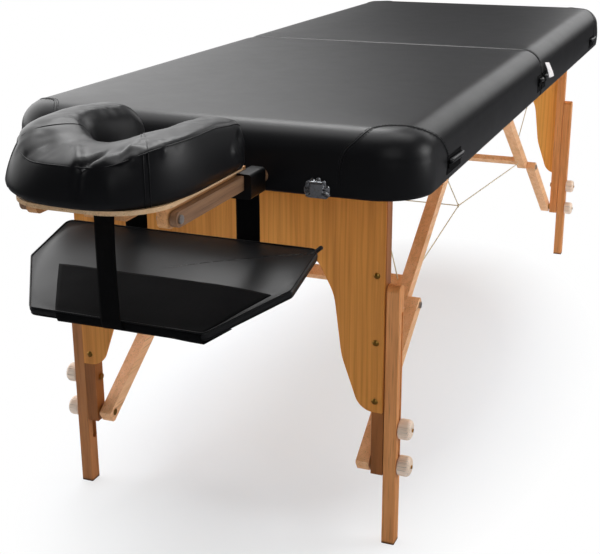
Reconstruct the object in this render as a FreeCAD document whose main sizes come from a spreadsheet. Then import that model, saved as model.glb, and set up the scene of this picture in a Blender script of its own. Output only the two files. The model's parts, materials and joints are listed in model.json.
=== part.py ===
import FreeCAD, Part
import os
import re
import math
import Sketcher
from FreeCAD import Placement, Rotation, Vector

# Portable two-section massage table with a face cradle and a hanging arm shelf.
# Millimetres.  +X runs from the head end to the foot end, +Y to the table's left, +Z up.
# Everything is drawn with the fold at x = 0 and the head half at negative x, then each
# sub-part is moved by shift_x, which puts the origin under the middle of the whole length.

doc = FreeCAD.newDocument("massage_table")
sheet = doc.addObject("Spreadsheet::Sheet", "sizes")

DRIVING = [
    # the top
    ("half_length", 925), ("table_width", 700), ("underside", 612), ("top_height", 713),
    ("frame_depth", 50), ("deck_thick", 4), ("skin", 5), ("rail_thick", 18), ("end_rail", 15),
    ("fold_gap", 1), ("soft_gap", 0.2), ("plan_corner", 80), ("top_round", 27),
    ("fold_axis_drop", 3), ("leaf_thick", 2),
    # the legs
    ("leg_centre", 829.5), ("leg_depth", 25), ("leg_inner", 258), ("fixed_thick", 20),
    ("fixed_bottom", 126), ("ext_gap", 0.5), ("ext_thick", 22), ("ext_top", 455),
    ("pivot_rise", 22), ("bolt_inset", 4.5), ("hole_pitch", 33), ("low_bolt", 141.6),
    ("high_bolt", 207.6), ("slot_width", 6.8), ("index_hole", 8), ("groove_low", 82),
    ("bolt_radius", 3), ("pivot_radius", 4), ("running", 0.08), ("knob_radius", 17),
    ("knob_thick", 21),
    # the panel between the legs
    ("panel_thick", 4), ("panel_half", 277), ("panel_top", 616), ("panel_low", 239),
    ("arch_top", 492),
    # the braces
    ("brace_depth", 24), ("brace_thick", 22), ("lower_inner", 232), ("brace_gap", 0.5),
    ("frame_pivot", 90), ("bar_step", 50), ("bar_width", 25), ("bar_thick", 12),
    ("cable_radius", 1.2), ("ring_spread", 183), ("ring_height", 353),
    # the face cradle; each "out" is a distance beyond the end of the top
    ("dowel_radius", 11), ("dowel_spread", 108), ("dowel_height", 636), ("dowel_inside", 125),
    ("clamp_wall", 5), ("clamp_out", 32), ("clamp_length", 51), ("link_inner", 107),
    ("link_thick", 10), ("link_height", 21), ("rail_width", 15), ("hinge_out", 276),
    ("hinge_z", 644), ("plate_level", 661), ("plate_thick", 6), ("cradle_out", 358),
    ("cradle_half", 120), ("cradle_corner", 85), ("cradle_rear_out", 67), ("face_hole", 50),
    ("face_out", 188), ("cushion_front", 55), ("cushion_slope", 6.5),
    # the arm shelf
    ("shelf_out", 32), ("shelf_length", 230), ("shelf_half", 211), ("shelf_side", 108),
    ("shelf_nose", 135), ("shelf_thick", 16), ("shelf_level", 531), ("shelf_tilt", 14.5),
    ("sleeve_start", 126), ("strap_width", 38), ("strap_thick", 1.6), ("strap_spread", 95),
    ("front_strap_out", 265), ("rear_strap_out", 25),
]

# Lengths that follow.  The brace folds flat, so the two struts differ by the distance that
# is left between their outer pivots when the leg lies along the frame.
REACH = "(leg_centre - frame_pivot)"
DROP = "(underside + pivot_rise - low_bolt)"
RUN = "(bolt_line - frame_pivot)"
RISE = "(underside + pivot_rise + leg_centre - bolt_line - low_bolt)"
SPAN = f"sqrt({RUN}^2 + {RISE}^2)"
LOWER = f"(({SPAN} - {REACH} + {DROP}) / 2)"
FOLLOWING = [
    ("bolt_line", "leg_centre - bolt_inset"),
    ("lower_length", LOWER),
    ("upper_length", f"{SPAN} - {LOWER}"),
    ("brace_angle", f"atan({RISE} / {RUN})"),
    ("frame_pivot_z", "underside + pivot_rise + leg_centre - bolt_line"),
    ("knee_x", f"bolt_line - {LOWER} * {RUN} / {SPAN}"),
    ("knee_z", f"low_bolt + {LOWER} * {RISE} / {SPAN}"),
    ("leg_pivot_z", "underside + pivot_rise"),
    ("rail_outer", "table_width / 2 - skin"),
    ("rail_inner", "table_width / 2 - skin - rail_thick"),
    ("rail_end", "half_length - skin"),
    ("frame_corner", "plan_corner - skin"),
    ("deck_under", "underside + frame_depth"),
    ("deck_top", "underside + frame_depth + deck_thick"),
    ("fixed_outer", "leg_inner + fixed_thick"),
    ("ext_inner", "leg_inner + fixed_thick + ext_gap"),
    ("ext_outer", "leg_inner + fixed_thick + ext_gap + ext_thick"),
    ("upper_outer", "lower_inner - brace_gap"),
    ("upper_inner", "lower_inner - brace_gap - brace_thick"),
    ("axis_z", "underside - fold_axis_drop"),
    ("clamp_rear", "half_length + clamp_out"),
    ("clamp_front", "half_length + clamp_out + clamp_length"),
    ("hinge_x", "half_length + hinge_out"),
    ("cradle_front", "half_length + cradle_out"),
    ("cradle_rear", "half_length + cradle_rear_out"),
    ("face_centre", "half_length + face_out"),
    ("shelf_rear", "half_length + shelf_out"),
    ("front_strap", "half_length + front_strap_out"),
    ("rear_strap", "half_length + rear_strap_out"),
    ("shift_x", "cradle_out / 2"),
]
for row, (alias, value) in enumerate(DRIVING, start=1):
    sheet.set(f"A{row}", alias)
    sheet.set(f"B{row}", str(value))
    sheet.setAlias(f"B{row}", alias)
for row, (alias, formula) in enumerate(FOLLOWING, start=len(DRIVING) + 1):
    sheet.set(f"A{row}", alias)
    sheet.set(f"B{row}", "=" + formula)
    sheet.setAlias(f"B{row}", alias)
doc.recompute()
ALIASES = {alias for alias, _ in DRIVING + FOLLOWING}


# ---------------------------------------------------------------- small helpers

def bound(formula):
    """The formula with every size read from the sheet."""
    def named(word):
        return "sizes." + word.group() if word.group() in ALIASES else word.group()
    return re.sub(r"[a-z][a-z_0-9]*", named, str(formula))


def val(formula):
    """The formula's value now, as a plain number."""
    value = sheet.evalExpression(bound(formula))
    return float(getattr(value, "Value", value))


def at(obj, x=0, y=0, z=0):
    """Bind an object's position to the sheet."""
    for axis, formula in zip("xyz", (x, y, z)):
        obj.setExpression(f"Placement.Base.{axis}", bound(formula))
    return obj


def block(name, x, y, z):
    """A box between two bounds on each axis."""
    obj = doc.addObject("Part::Box", name)
    for side, (low, high) in zip(("Length", "Width", "Height"), (x, y, z)):
        obj.setExpression(side, bound(f"({high}) - ({low})"))
    return at(obj, x[0], y[0], z[0])


TURNS = {"x": Rotation(Vector(0, 1, 0), 90), "y": Rotation(Vector(1, 0, 0), -90), "z": Rotation()}


def rod(name, axis, radius, length, x, y, z):
    """A cylinder that starts at a point and runs along +X, +Y or +Z."""
    obj = doc.addObject("Part::Cylinder", name)
    obj.setExpression("Radius", bound(radius))
    obj.setExpression("Height", bound(length))
    obj.Placement = Placement(Vector(), TURNS[axis])
    return at(obj, x, y, z)


def tube(name, start, end, skip=0):
    """A taut length of cable between two points, left short at its start by skip."""
    a = Vector(*[val(c) for c in start])
    b = Vector(*[val(c) for c in end])
    way = (b - a).normalize()
    a = a + way * skip
    obj = doc.addObject("Part::Cylinder", name)
    obj.setExpression("Radius", bound("cable_radius"))
    obj.Height = (b - a).Length
    obj.Placement = Placement(a, Rotation(Vector(0, 0, 1), way))
    return obj


def cut(name, base, *tools):
    """The base with every tool taken out of it."""
    for number, tool in enumerate(tools, start=1):
        last = number == len(tools)
        obj = doc.addObject("Part::Cut", name if last else f"{name}_{number}")
        obj.Base = base
        obj.Tool = tool
        base = obj
    return base


def fuse(name, *pieces):
    obj = doc.addObject("Part::MultiFuse", name)
    obj.Shapes = list(pieces)
    return obj


def group(name, *pieces):
    obj = doc.addObject("Part::Compound", name)
    obj.Links = list(pieces)
    return obj


def mirror(name, source, normal):
    """The mirror image in the plane through the origin with this normal."""
    obj = doc.addObject("Part::Mirroring", name)
    obj.Source = source
    obj.Normal = normal
    return obj


SIDEWAYS = Vector(0, 1, 0)
ENDWAYS = Vector(1, 0, 0)


def pair(name, *pieces):
    """The pieces of the right side together with their mirror images on the left."""
    one = pieces[0] if len(pieces) == 1 else group(name + "_right", *pieces)
    return group(name, one, mirror(name + "_mirror", one, SIDEWAYS))


def soften(name, source, radius, chosen):
    """Round the chosen edges of a solid."""
    doc.recompute()
    obj = doc.addObject("Part::Fillet", name)
    obj.Base = source
    size = val(radius)
    edges = enumerate(source.Shape.Edges, start=1)
    obj.Edges = [(number, size, size) for number, edge in edges if chosen(edge)]
    return obj


def runs_along(edge, axis):
    """True for a straight edge parallel to an axis."""
    if edge.Curve.TypeId != "Part::GeomLine":
        return False
    direction = edge.Curve.Direction
    return abs(abs(getattr(direction, axis)) - 1) < 1e-6


def middle(edge):
    return edge.valueAt((edge.FirstParameter + edge.LastParameter) / 2)


def near(edge, tolerance=0.5, **where):
    """True when the middle of an edge is at the given coordinates."""
    centre = middle(edge)
    return all(abs(getattr(centre, axis) - value) < tolerance for axis, value in where.items())


def drawn(name, plane, corners, depth, offset="0"):
    """A body made by padding a closed outline.

    On XY_Plane the outline's axes are X and Y and the pad runs up; on XZ_Plane they are
    X and Z and it runs towards -Y; on YZ_Plane they are Y and Z and it runs towards +X.
    """
    body = doc.addObject("PartDesign::Body", name)
    outline = body.newObject("Sketcher::SketchObject", name + "_outline")
    origin = [f for f in body.Origin.OriginFeatures if f.Role == plane][0]
    outline.AttachmentSupport = (origin, [""])
    outline.MapMode = "FlatFace"
    outline.setExpression("AttachmentOffset.Base.z", bound(offset))
    points = [Vector(val(u), val(v), 0) for u, v in corners]
    count = len(points)
    for number in range(count):
        outline.addGeometry(Part.LineSegment(points[number], points[(number + 1) % count]))
    for number in range(count):
        outline.addConstraint(
            Sketcher.Constraint("Coincident", number, 2, (number + 1) % count, 1))
    for number, corner in enumerate(corners):
        for kind, formula, axis in zip(("DistanceX", "DistanceY"), corner, (-2, -1)):
            if formula == "0":
                outline.addConstraint(Sketcher.Constraint("PointOnObject", number, 1, axis))
                continue
            index = outline.addConstraint(
                Sketcher.Constraint(kind, -1, 1, number, 1, val(formula)))
            outline.setExpression(f"Constraints[{index}]", bound(formula))
    pad = body.newObject("PartDesign::Pad", name + "_pad")
    pad.Profile = outline
    pad.setExpression("Length", bound(depth))
    doc.recompute()
    return body


def rounded(body, radius, chosen):
    """Add a fillet on the chosen edges of a body."""
    tip = body.Tip
    names = [f"Edge{n}" for n, e in enumerate(tip.Shape.Edges, start=1) if chosen(e)]
    fillet = body.newObject("PartDesign::Fillet", body.Name + "_round")
    fillet.Base = (tip, names)
    fillet.setExpression("Radius", bound(radius))
    doc.recompute()
    return body


PARTS = []


def sub_part(name, source):
    """Register a finished sub-part and move it to the shared origin."""
    obj = group(name, source) if source.TypeId != "Part::Compound" else source
    obj.Label = name
    at(obj, "shift_x")
    PARTS.append((name, obj))
    return obj


def both_halves(name, source):
    """Register a head sub-part and its mirror image on the foot half."""
    sub_part("foot_" + name, mirror(f"foot_{name}_image", source, ENDWAYS))
    sub_part("head_" + name, group(f"head_{name}_all", source))


# ---------------------------------------------------------------- the padded top

def frame_outline(name, gap, low, high):
    """A slab in plan like the frame, grown by a gap, with the end corners rounded."""
    slab = block(name + "_slab", (f"-rail_end - ({gap})", "-fold_gap"),
                 (f"-rail_outer - ({gap})", f"rail_outer + ({gap})"), (low, high))
    end = -val(f"rail_end + ({gap})")
    return soften(name, slab, f"frame_corner + ({gap})",
                  lambda e: runs_along(e, "z") and near(e, x=end))


def dowel_bores(name, clearance):
    """Two cylinders through the end of the frame, where the cradle's dowels go in."""
    one = rod(name + "_one", "x", f"dowel_radius + {clearance}", "skin + end_rail + 4",
              "-half_length - 2", "-dowel_spread", "dowel_height")
    return pair(name, one)


def make_top():
    straight = block("side_straight", ("-rail_end + frame_corner", "-fold_gap - 3"),
                     ("-rail_outer", "-rail_inner"), ("underside", "deck_under"))
    bend = doc.addObject("Part::Cylinder", "bend_outer")
    bend.setExpression("Radius", bound("frame_corner"))
    core = doc.addObject("Part::Cylinder", "bend_core")
    core.setExpression("Radius", bound("frame_corner - rail_thick"))
    for quarter in (bend, core):
        quarter.Angle = 90
        quarter.setExpression("Height", bound("frame_depth"))
        quarter.Placement = Placement(Vector(), Rotation(Vector(0, 0, 1), 180))
        at(quarter, "-rail_end + frame_corner", "-rail_outer + frame_corner", "underside")
    both_halves("side_rails", pair("side_rails", fuse("side_rail", straight,
                                                      cut("bend", bend, core))))
    end = block("end_bar", ("-rail_end", "-rail_end + end_rail"),
                ("-rail_outer + frame_corner", "rail_outer - frame_corner"),
                ("underside", "deck_under"))
    fold = block("fold_bar", ("-fold_gap - 3 - rail_thick", "-fold_gap - 3"),
                 ("-rail_inner", "rail_inner"), ("underside", "deck_under"))
    plain = group("cross_plain", end, fold)
    bored = group("cross_bored", cut("end_bored", end, dowel_bores("end_bores", "running")), fold)
    sub_part("head_cross_rails", bored)
    sub_part("foot_cross_rails", mirror("foot_cross", plain, ENDWAYS))
    both_halves("deck", frame_outline("deck", "0", "deck_under", "deck_top"))

    outer = frame_outline("skin_outer", "skin", "underside", "deck_top")
    inner = frame_outline("skin_inner", "soft_gap", "underside - 1", "deck_top + 1")
    hollow = fuse("skin_hollow", inner, block(
        "skin_fold", ("-50", "-fold_gap - 2.8"), ("-rail_outer - soft_gap", "rail_outer + soft_gap"),
        ("underside - 1", "deck_top + 1")))
    front = block("fold_skin", ("-fold_gap - 2.8", "-fold_gap"),
                  ("-rail_outer - soft_gap", "rail_outer + soft_gap"), ("underside", "deck_under"))
    ring = cut("skin_ring", outer, hollow)
    skirt = fuse("skirt_ring", ring, front)
    bores = dowel_bores("skin_bores", "0.5")
    sub_part("head_skirt", cut("head_skirt_cut", skirt, bores))
    sub_part("foot_skirt", mirror("foot_skirt_image", skirt, ENDWAYS))

    pad = drawn("pad_body", "XY_Plane",
                [("-half_length", "-table_width / 2"), ("-fold_gap", "-table_width / 2"),
                 ("-fold_gap", "table_width / 2"), ("-half_length", "table_width / 2")],
                "top_height - deck_top - soft_gap", "deck_top + soft_gap")
    end_x = -val("half_length")
    rounded(pad, "plan_corner", lambda e: runs_along(e, "z") and near(e, x=end_x))
    level = val("top_height")
    rounded(pad, "top_round", lambda e: near(e, z=level))
    both_halves("pad", pad)


def make_frame_fittings():
    """Pivot blocks, pivot bolts, hinge leaves and sewn lugs."""
    leg_block = block("leg_block", ("-leg_centre - 15", "-leg_centre + 22"),
                      ("-rail_inner", "-fixed_outer - 0.6"), ("underside + 1", "deck_under"))
    brace_block = block("brace_block", ("-frame_pivot - 16", "-fold_gap - 3 - rail_thick"),
                        ("-upper_outer - 0.4 - 18", "-upper_outer - 0.4"),
                        ("underside + 2", "deck_under"))
    leg_bolt = pivot_bolt("leg_bolt", "leg_centre", "leg_pivot_z", "leg_inner", "40")
    brace_bolt = pivot_bolt("brace_bolt", "frame_pivot", "frame_pivot_z", "upper_inner", "36")
    both_halves("pivot_bolts", pair("pivot_bolts", leg_bolt, brace_bolt))
    both_halves("blocks", pair("blocks", cut("leg_block_bored", leg_block, leg_bolt),
                               cut("brace_block_bored", brace_block, brace_bolt)))

    knuckle = "14"
    leaves = {"head": [], "foot": []}
    for place, spread in enumerate(("-285", "215")):
        plate = block(f"leaf_plate_{place}", ("-30", "-3.2"), (spread, f"{spread} + 70"),
                      ("underside - leaf_thick", "underside"))
        leaves["head"].append(plate)
        leaves["foot"].append(mirror(f"leaf_plate_foot_{place}", plate, ENDWAYS))
        pin = rod(f"leaf_pin_{place}", "y", "1.2", "70", "0", spread, "axis_z")
        leaves["head"].append(pin)
        for step in range(5):
            start = f"{spread} + {knuckle} * {step} + 0.15"
            length = f"{knuckle} - 0.3"
            side = "head" if step % 2 == 0 else "foot"
            name = f"knuckle_{place}_{step}"
            barrel = rod(name + "_barrel", "y", "2.4", length, "0", start, "axis_z")
            reach = ("-3.4", "0") if side == "head" else ("0", "3.4")
            tab = block(name + "_tab", reach, (start, f"{start} + {length}"),
                        ("underside - 2", "underside - 0.8"))
            whole = fuse(name, barrel, tab)
            if side == "foot":
                bore = rod(name + "_bore", "y", "1.2 + running", f"{length} + 2", "0",
                           f"{start} - 1", "axis_z")
                whole = cut(name + "_bored", whole, bore)
            leaves[side].append(whole)
    for half in ("head", "foot"):
        whole = fuse(half + "_leaves", *leaves[half])
        sub_part(half + "_hinge_leaves", whole)


def pivot_bolt(name, x, z, inner, reach):
    """A bolt across the right side, its head against the inner face of what it carries."""
    shank = rod(name + "_shank", "y", "pivot_radius", f"{reach} + 0.4", f"-({x})",
                f"-({inner}) - {reach}", z)
    head = rod(name + "_head", "y", "7", "3", f"-({x})", f"-({inner}) + 0.3", z)
    return fuse(name, shank, head)


def lug(name, x_low, x_high, z_low, z_high):
    """A sewn webbing lug on the right side with a stitched bar along its middle."""
    web = block(name + "_web", (x_low, x_high), ("-table_width / 2 - 2.4", "-table_width / 2"),
                (z_low, z_high))
    bar = block(name + "_bar", (f"{x_low} + 3", f"{x_high} - 3"),
                ("-table_width / 2 - 5", "-table_width / 2 - 2.4"),
                (f"({z_low} + {z_high}) / 2 - 4", f"({z_low} + {z_high}) / 2 + 4"))
    return fuse(name, web, bar)


def make_lugs():
    end_lug = lug("end_lug", "-783", "-699", "underside + 12", "underside + 40")
    fold_lug = lug("fold_lug", "-46", "-5", "underside + 15", "underside + 50")
    both_halves("lugs", pair("lugs", end_lug, fold_lug))
    label = drawn("label_body", "XZ_Plane", [("78", "622"), ("128", "622"), ("128", "650"),
                                             ("78", "650")], "0.8", "table_width / 2")
    rounded(label, "4", lambda e: runs_along(e, "y"))
    sub_part("foot_label_tab", label)


def make_latches():
    """Two spring latches on the head end, each a round-topped plate with a lever."""
    for side, spread in (("right", "-196"), ("left", "196")):
        disc = rod(f"latch_disc_{side}", "x", "19", "1.8", "-half_length - 1.8", spread, "621")
        trim = block(f"latch_trim_{side}", ("-half_length - 3", "-half_length + 1"),
                     (f"{spread} - 25", f"{spread} + 25"), ("580", "609"))
        plate = cut(f"latch_plate_{side}", disc, trim)
        ears = [block(f"latch_ear_{side}_{n}", ("-half_length - 8", "-half_length - 1.5"),
                      (f"{spread} + ({y})", f"{spread} + ({y}) + 2"), ("629", "637"))
                for n, y in enumerate(("-12", "10"))]
        pin = rod(f"latch_pin_{side}", "y", "1.2", "24", "-half_length - 5.2",
                  f"{spread} - 12", "633")
        base = fuse(f"latch_base_{side}", plate, pin, *ears)
        barrel = rod(f"lever_barrel_{side}", "y", "2.4", "19", "-half_length - 5.2",
                     f"{spread} - 9.5", "633")
        tongue = block(f"lever_tongue_{side}", ("-half_length - 6.4", "-half_length - 4"),
                       (f"{spread} - 9.5", f"{spread} + 9.5"), ("614", "633"))
        tongue = soften(f"lever_round_{side}", tongue, "7",
                        lambda e: runs_along(e, "x") and near(e, z=614))
        bore = rod(f"lever_bore_{side}", "y", "1.2 + running", "22", "-half_length - 5.2",
                   f"{spread} - 11", "633")
        sub_part(f"latch_lever_{side}", cut(f"lever_{side}", fuse(
            f"lever_solid_{side}", barrel, tongue), bore))
        yield base


# ---------------------------------------------------------------- the legs

def across(name, radius, x, z, low, high):
    """A cylinder across the right side between two distances from the middle."""
    return rod(name, "y", radius, f"({high}) - ({low})", f"-({x})", f"-({high})", z)


def make_legs():
    leg = drawn("fixed_leg", "XZ_Plane",
                [("-leg_centre - leg_depth / 2", "fixed_bottom"),
                 ("-leg_centre + leg_depth / 2", "fixed_bottom"),
                 ("-leg_centre + leg_depth / 2", "leg_pivot_z + leg_depth / 2"),
                 ("-leg_centre - leg_depth / 2", "leg_pivot_z + leg_depth / 2")],
                "fixed_thick", "leg_inner")
    top = val("leg_pivot_z + leg_depth / 2")
    rounded(leg, "leg_depth / 2 - 0.01", lambda e: runs_along(e, "y") and near(e, z=top))

    screws = [panel_screw(f"screw_{n}", z) for n, z in enumerate(("471", "359", "258"))]
    low = fuse("low_leg_bolt", across("low_shank", "bolt_radius", "bolt_line", "low_bolt",
                                      "lower_inner + 0.2", "ext_outer + 0.3 + knob_thick + 2"),
               across("low_head", "6", "bolt_line", "low_bolt",
                      "lower_inner + 0.2", "lower_inner + 3.2"),
               across("low_collar", "8", "bolt_line", "low_bolt",
                      "lower_inner + brace_thick + 0.3", "leg_inner"))
    high = fuse("high_leg_bolt", across("high_shank", "bolt_radius", "bolt_line", "high_bolt",
                                        "leg_inner", "ext_outer + 0.3 + knob_thick + 2"),
                across("high_head", "6", "bolt_line", "high_bolt", "leg_inner - 3", "leg_inner"))
    pivot_bore = across("leg_pivot_bore", "pivot_radius + running", "leg_centre", "leg_pivot_z",
                        "leg_inner - 1", "fixed_outer + 1")
    right = cut("leg_right_cut", leg, pivot_bore, low, high, *screws)
    both_halves("leg_right", right)
    both_halves("leg_left", mirror("leg_left_image", right, SIDEWAYS))
    both_halves("leg_fasteners", pair("leg_fasteners", low, high, *screws))

    side = [("panel_half", "panel_top"), ("panel_half", "panel_low"),
            ("239", "panel_low"), ("207", "330"), ("194", "432"), ("163", "arch_top")]
    outline = side + [("-" + y, z) for y, z in reversed(side)]
    panel = drawn("panel_body", "YZ_Plane", outline, "panel_thick",
                  "-leg_centre - leg_depth / 2 - panel_thick")
    for radius, y, z in (("34", 239, val("panel_low")), ("120", 207, 330), ("90", 194, 432),
                         ("34", 163, val("arch_top"))):
        rounded(panel, radius, lambda e: runs_along(e, "x")
                and abs(abs(middle(e).y) - y) < 0.5 and abs(middle(e).z - z) < 0.5)
    mirrored = [mirror(f"screw_mirror_{n}", s, SIDEWAYS) for n, s in enumerate(screws)]
    both_halves("panel", cut("panel_cut", panel, *screws, *mirrored))
    make_extensions()


def panel_screw(name, z):
    """A dome-headed screw through the panel into the right leg."""
    shank = rod(name + "_shank", "x", "1.8", "18", "-leg_centre - leg_depth / 2 - panel_thick",
                "-264", z)
    dome = doc.addObject("Part::Sphere", name + "_ball")
    dome.Radius = 6.5
    at(dome, "-leg_centre - leg_depth / 2 - panel_thick + 3.6", "-264", z)
    keep = block(name + "_keep", ("-leg_centre - leg_depth / 2 - panel_thick - 5",
                                  "-leg_centre - leg_depth / 2 - panel_thick"),
                 ("-275", "-250"), (f"{z} - 10", f"{z} + 10"))
    head = doc.addObject("Part::Common", name + "_head")
    head.Base = dome
    head.Tool = keep
    return fuse(name, shank, head)


def make_extensions():
    ext = drawn("ext_leg", "XZ_Plane",
                [("-leg_centre - leg_depth / 2", "0"), ("-leg_centre + leg_depth / 2", "0"),
                 ("-leg_centre + leg_depth / 2", "ext_top"),
                 ("-leg_centre - leg_depth / 2", "ext_top")], "ext_thick", "ext_inner")
    top = val("ext_top")
    rounded(ext, "leg_depth / 2 - 1", lambda e: runs_along(e, "y") and near(e, z=top))
    rounded(ext, "2", lambda e: runs_along(e, "z"))
    last = "low_bolt + 8 * hole_pitch"
    tools = [slotted("ext_slot", "slot_width / 2", "low_bolt", last, "ext_inner - 1",
                     "ext_outer + 1"),
             slotted("ext_groove", "6", "groove_low + 6", last, "ext_inner - 1",
                     "ext_inner + 6")]
    for hole in range(9):
        tools.append(across(f"index_{hole}", "index_hole / 2", "bolt_line",
                            f"low_bolt + {hole} * hole_pitch", "ext_outer - 4", "ext_outer + 1"))
    right = cut("ext_right_cut", ext, *tools)
    both_halves("ext_right", right)
    both_halves("ext_left", mirror("ext_left_image", right, SIDEWAYS))

    turned = rod("knob_turned", "y", "knob_radius", "knob_thick", "-bolt_line",
                 "-ext_outer - 0.3 - knob_thick", "low_bolt")
    face = -val("ext_outer + 0.3 + knob_thick")
    back = -val("ext_outer + 0.3")
    turned = soften("knob_face", turned, "7", lambda e: e.Curve.TypeId == "Part::GeomCircle"
                    and abs(middle(e).y - face) < 0.5)
    turned = soften("knob_back", turned, "3", lambda e: e.Curve.TypeId == "Part::GeomCircle"
                    and abs(middle(e).y - back) < 0.5)
    bore = across("knob_bore", "bolt_radius + running", "bolt_line", "low_bolt", "ext_outer",
                  "ext_outer + knob_thick + 2")
    low = cut("knob_low", turned, bore)
    high = doc.addObject("Part::Compound", "knob_high")
    high.Links = [low]
    at(high, "0", "0", "high_bolt - low_bolt")
    for level, source in (("low", low), ("high", high)):
        both_halves(f"knob_right_{level}", source)
        both_halves(f"knob_left_{level}", mirror(f"knob_left_{level}_image", source, SIDEWAYS))


def slotted(name, radius, low, high, inner, outer):
    """A round-ended slot across the right extension, as a solid to take out."""
    ends = [across(f"{name}_{n}", radius, "bolt_line", z, inner, outer)
            for n, z in enumerate((low, high))]
    run = block(name + "_run", (f"-bolt_line - ({radius})", f"-bolt_line + ({radius})"),
                (f"-({outer})", f"-({inner})"), (low, high))
    return fuse(name, run, *ends)


# ---------------------------------------------------------------- the braces

def tilted(obj, x, z, turn):
    """Set a body drawn along +X at a pivot and turn it up about -Y."""
    obj.Placement = Placement(Vector(), Rotation(Vector(0, -1, 0), 1))
    obj.setExpression("Placement.Rotation.Angle", bound(turn))
    return at(obj, x, "0", z)


def strut(name, length, inner, taper, taper_start):
    """A strut along +X from its first pivot, its far end tapered on the +Z side."""
    half = "brace_depth / 2"
    body = drawn(name, "XZ_Plane",
                 [(f"-({half}) - 3", f"-({half})"), (f"{length} + {half}", f"-({half})"),
                  (f"{length} + {half}", f"{half} - {taper}"),
                  (f"{length} - {taper_start}", half), (f"-({half}) - 3", half)],
                 "brace_thick", inner)
    far = val(f"{length} + {half}")
    return rounded(body, "6", lambda e: runs_along(e, "y") and near(e, x=far))


def make_braces():
    lower = tilted(strut("lower_strut", "lower_length", "lower_inner", "3", "0"),
                   "-bolt_line", "low_bolt", "brace_angle")
    below = block("strut_below", ("-leg_centre - 60", "-leg_centre + 60"), ("-300", "-200"),
                  ("fixed_bottom - 60", "fixed_bottom"))
    before = block("strut_before", ("-leg_centre - leg_depth / 2 - 60",
                                    "-leg_centre - leg_depth / 2"), ("-300", "-200"),
                   ("fixed_bottom - 60", "fixed_bottom + 90"))
    leg_bore = across("strut_leg_bore", "bolt_radius + running", "bolt_line", "low_bolt",
                      "lower_inner - 1", "lower_inner + brace_thick + 1")
    sunk = across("strut_head_bore", "6.4", "bolt_line", "low_bolt",
                  "lower_inner - 1", "lower_inner + 3.4")
    stud = fuse("knee_stud", across("knee_shank", "bolt_radius", "knee_x", "knee_z",
                                    "lower_inner", "lower_inner + brace_thick"),
                across("knee_head", "6", "knee_x", "knee_z", "lower_inner + brace_thick",
                       "lower_inner + brace_thick + 3"))
    both_halves("lower_struts", pair("lower_struts", cut("lower_cut", lower, below, before,
                                                         leg_bore, sunk, stud)))
    both_halves("knee_bolts", pair("knee_bolts", stud))

    upper = tilted(strut("upper_strut", "upper_length", "upper_inner", "13", "14"),
                   "-frame_pivot", "frame_pivot_z", "180 deg + brace_angle")
    bar = drawn("knee_bar", "XZ_Plane",
                [("upper_length - bar_step - bar_width / 2", "brace_depth / 2 - bar_thick"),
                 ("upper_length - bar_step + bar_width / 2", "brace_depth / 2 - bar_thick"),
                 ("upper_length - bar_step + bar_width / 2", "brace_depth / 2"),
                 ("upper_length - bar_step - bar_width / 2", "brace_depth / 2")],
                "2 * upper_outer", "-upper_outer")
    bar = tilted(bar, "-frame_pivot", "frame_pivot_z", "180 deg + brace_angle")
    frame_bore = across("strut_frame_bore", "pivot_radius + running", "frame_pivot",
                        "frame_pivot_z", "upper_inner - 1", "upper_outer + 1")
    side_struts = pair("upper_pair", cut("upper_cut", upper, bar, frame_bore))
    both_halves("upper_struts", group("upper_frame", side_struts, bar))


def make_cables():
    """Steel cables that stop the legs from spreading, taut between rings and eyes."""
    bar_x = "(frame_pivot + (upper_length - bar_step) * cos(brace_angle))"
    bar_z = "(frame_pivot_z - (upper_length - bar_step) * sin(brace_angle))"
    ring = ("0", "-ring_spread", "ring_height")
    far_ring = ("0", "ring_spread - 4.3", "ring_height")
    under = "brace_depth / 2 + 2"
    ball = doc.addObject("Part::Sphere", "ring_ball")
    ball.Radius = 4
    at(ball, *ring)
    cables = [ball, tube("cable_eye", ring, ("-fold_gap - 12", "-63", "underside - 0.2"), 4.3)]
    for half, sign in (("head", "-"), ("foot", "+")):
        low = (f"{sign}1 * ({bar_x} - ({under}) * sin(brace_angle))", "-ring_spread - 32",
               f"{bar_z} - ({under}) * cos(brace_angle)")
        cables.append(tube(f"cable_knee_{half}", ring, low, 4.3))
        high = (f"{sign}1 * ({bar_x} + 2 * sin(brace_angle))", "-ring_spread - 17",
                f"{bar_z} + 2 * cos(brace_angle)")
        cables.append(tube(f"cable_frame_{half}", high, (f"{sign}790", "-226", "deck_under - 1.5")))
    across_ring = tube("cable_across", ring, far_ring, 4.3)
    sub_part("cables", group("cable_net", pair("cable_sides", *cables), across_ring))


# ---------------------------------------------------------------- the face cradle

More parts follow.
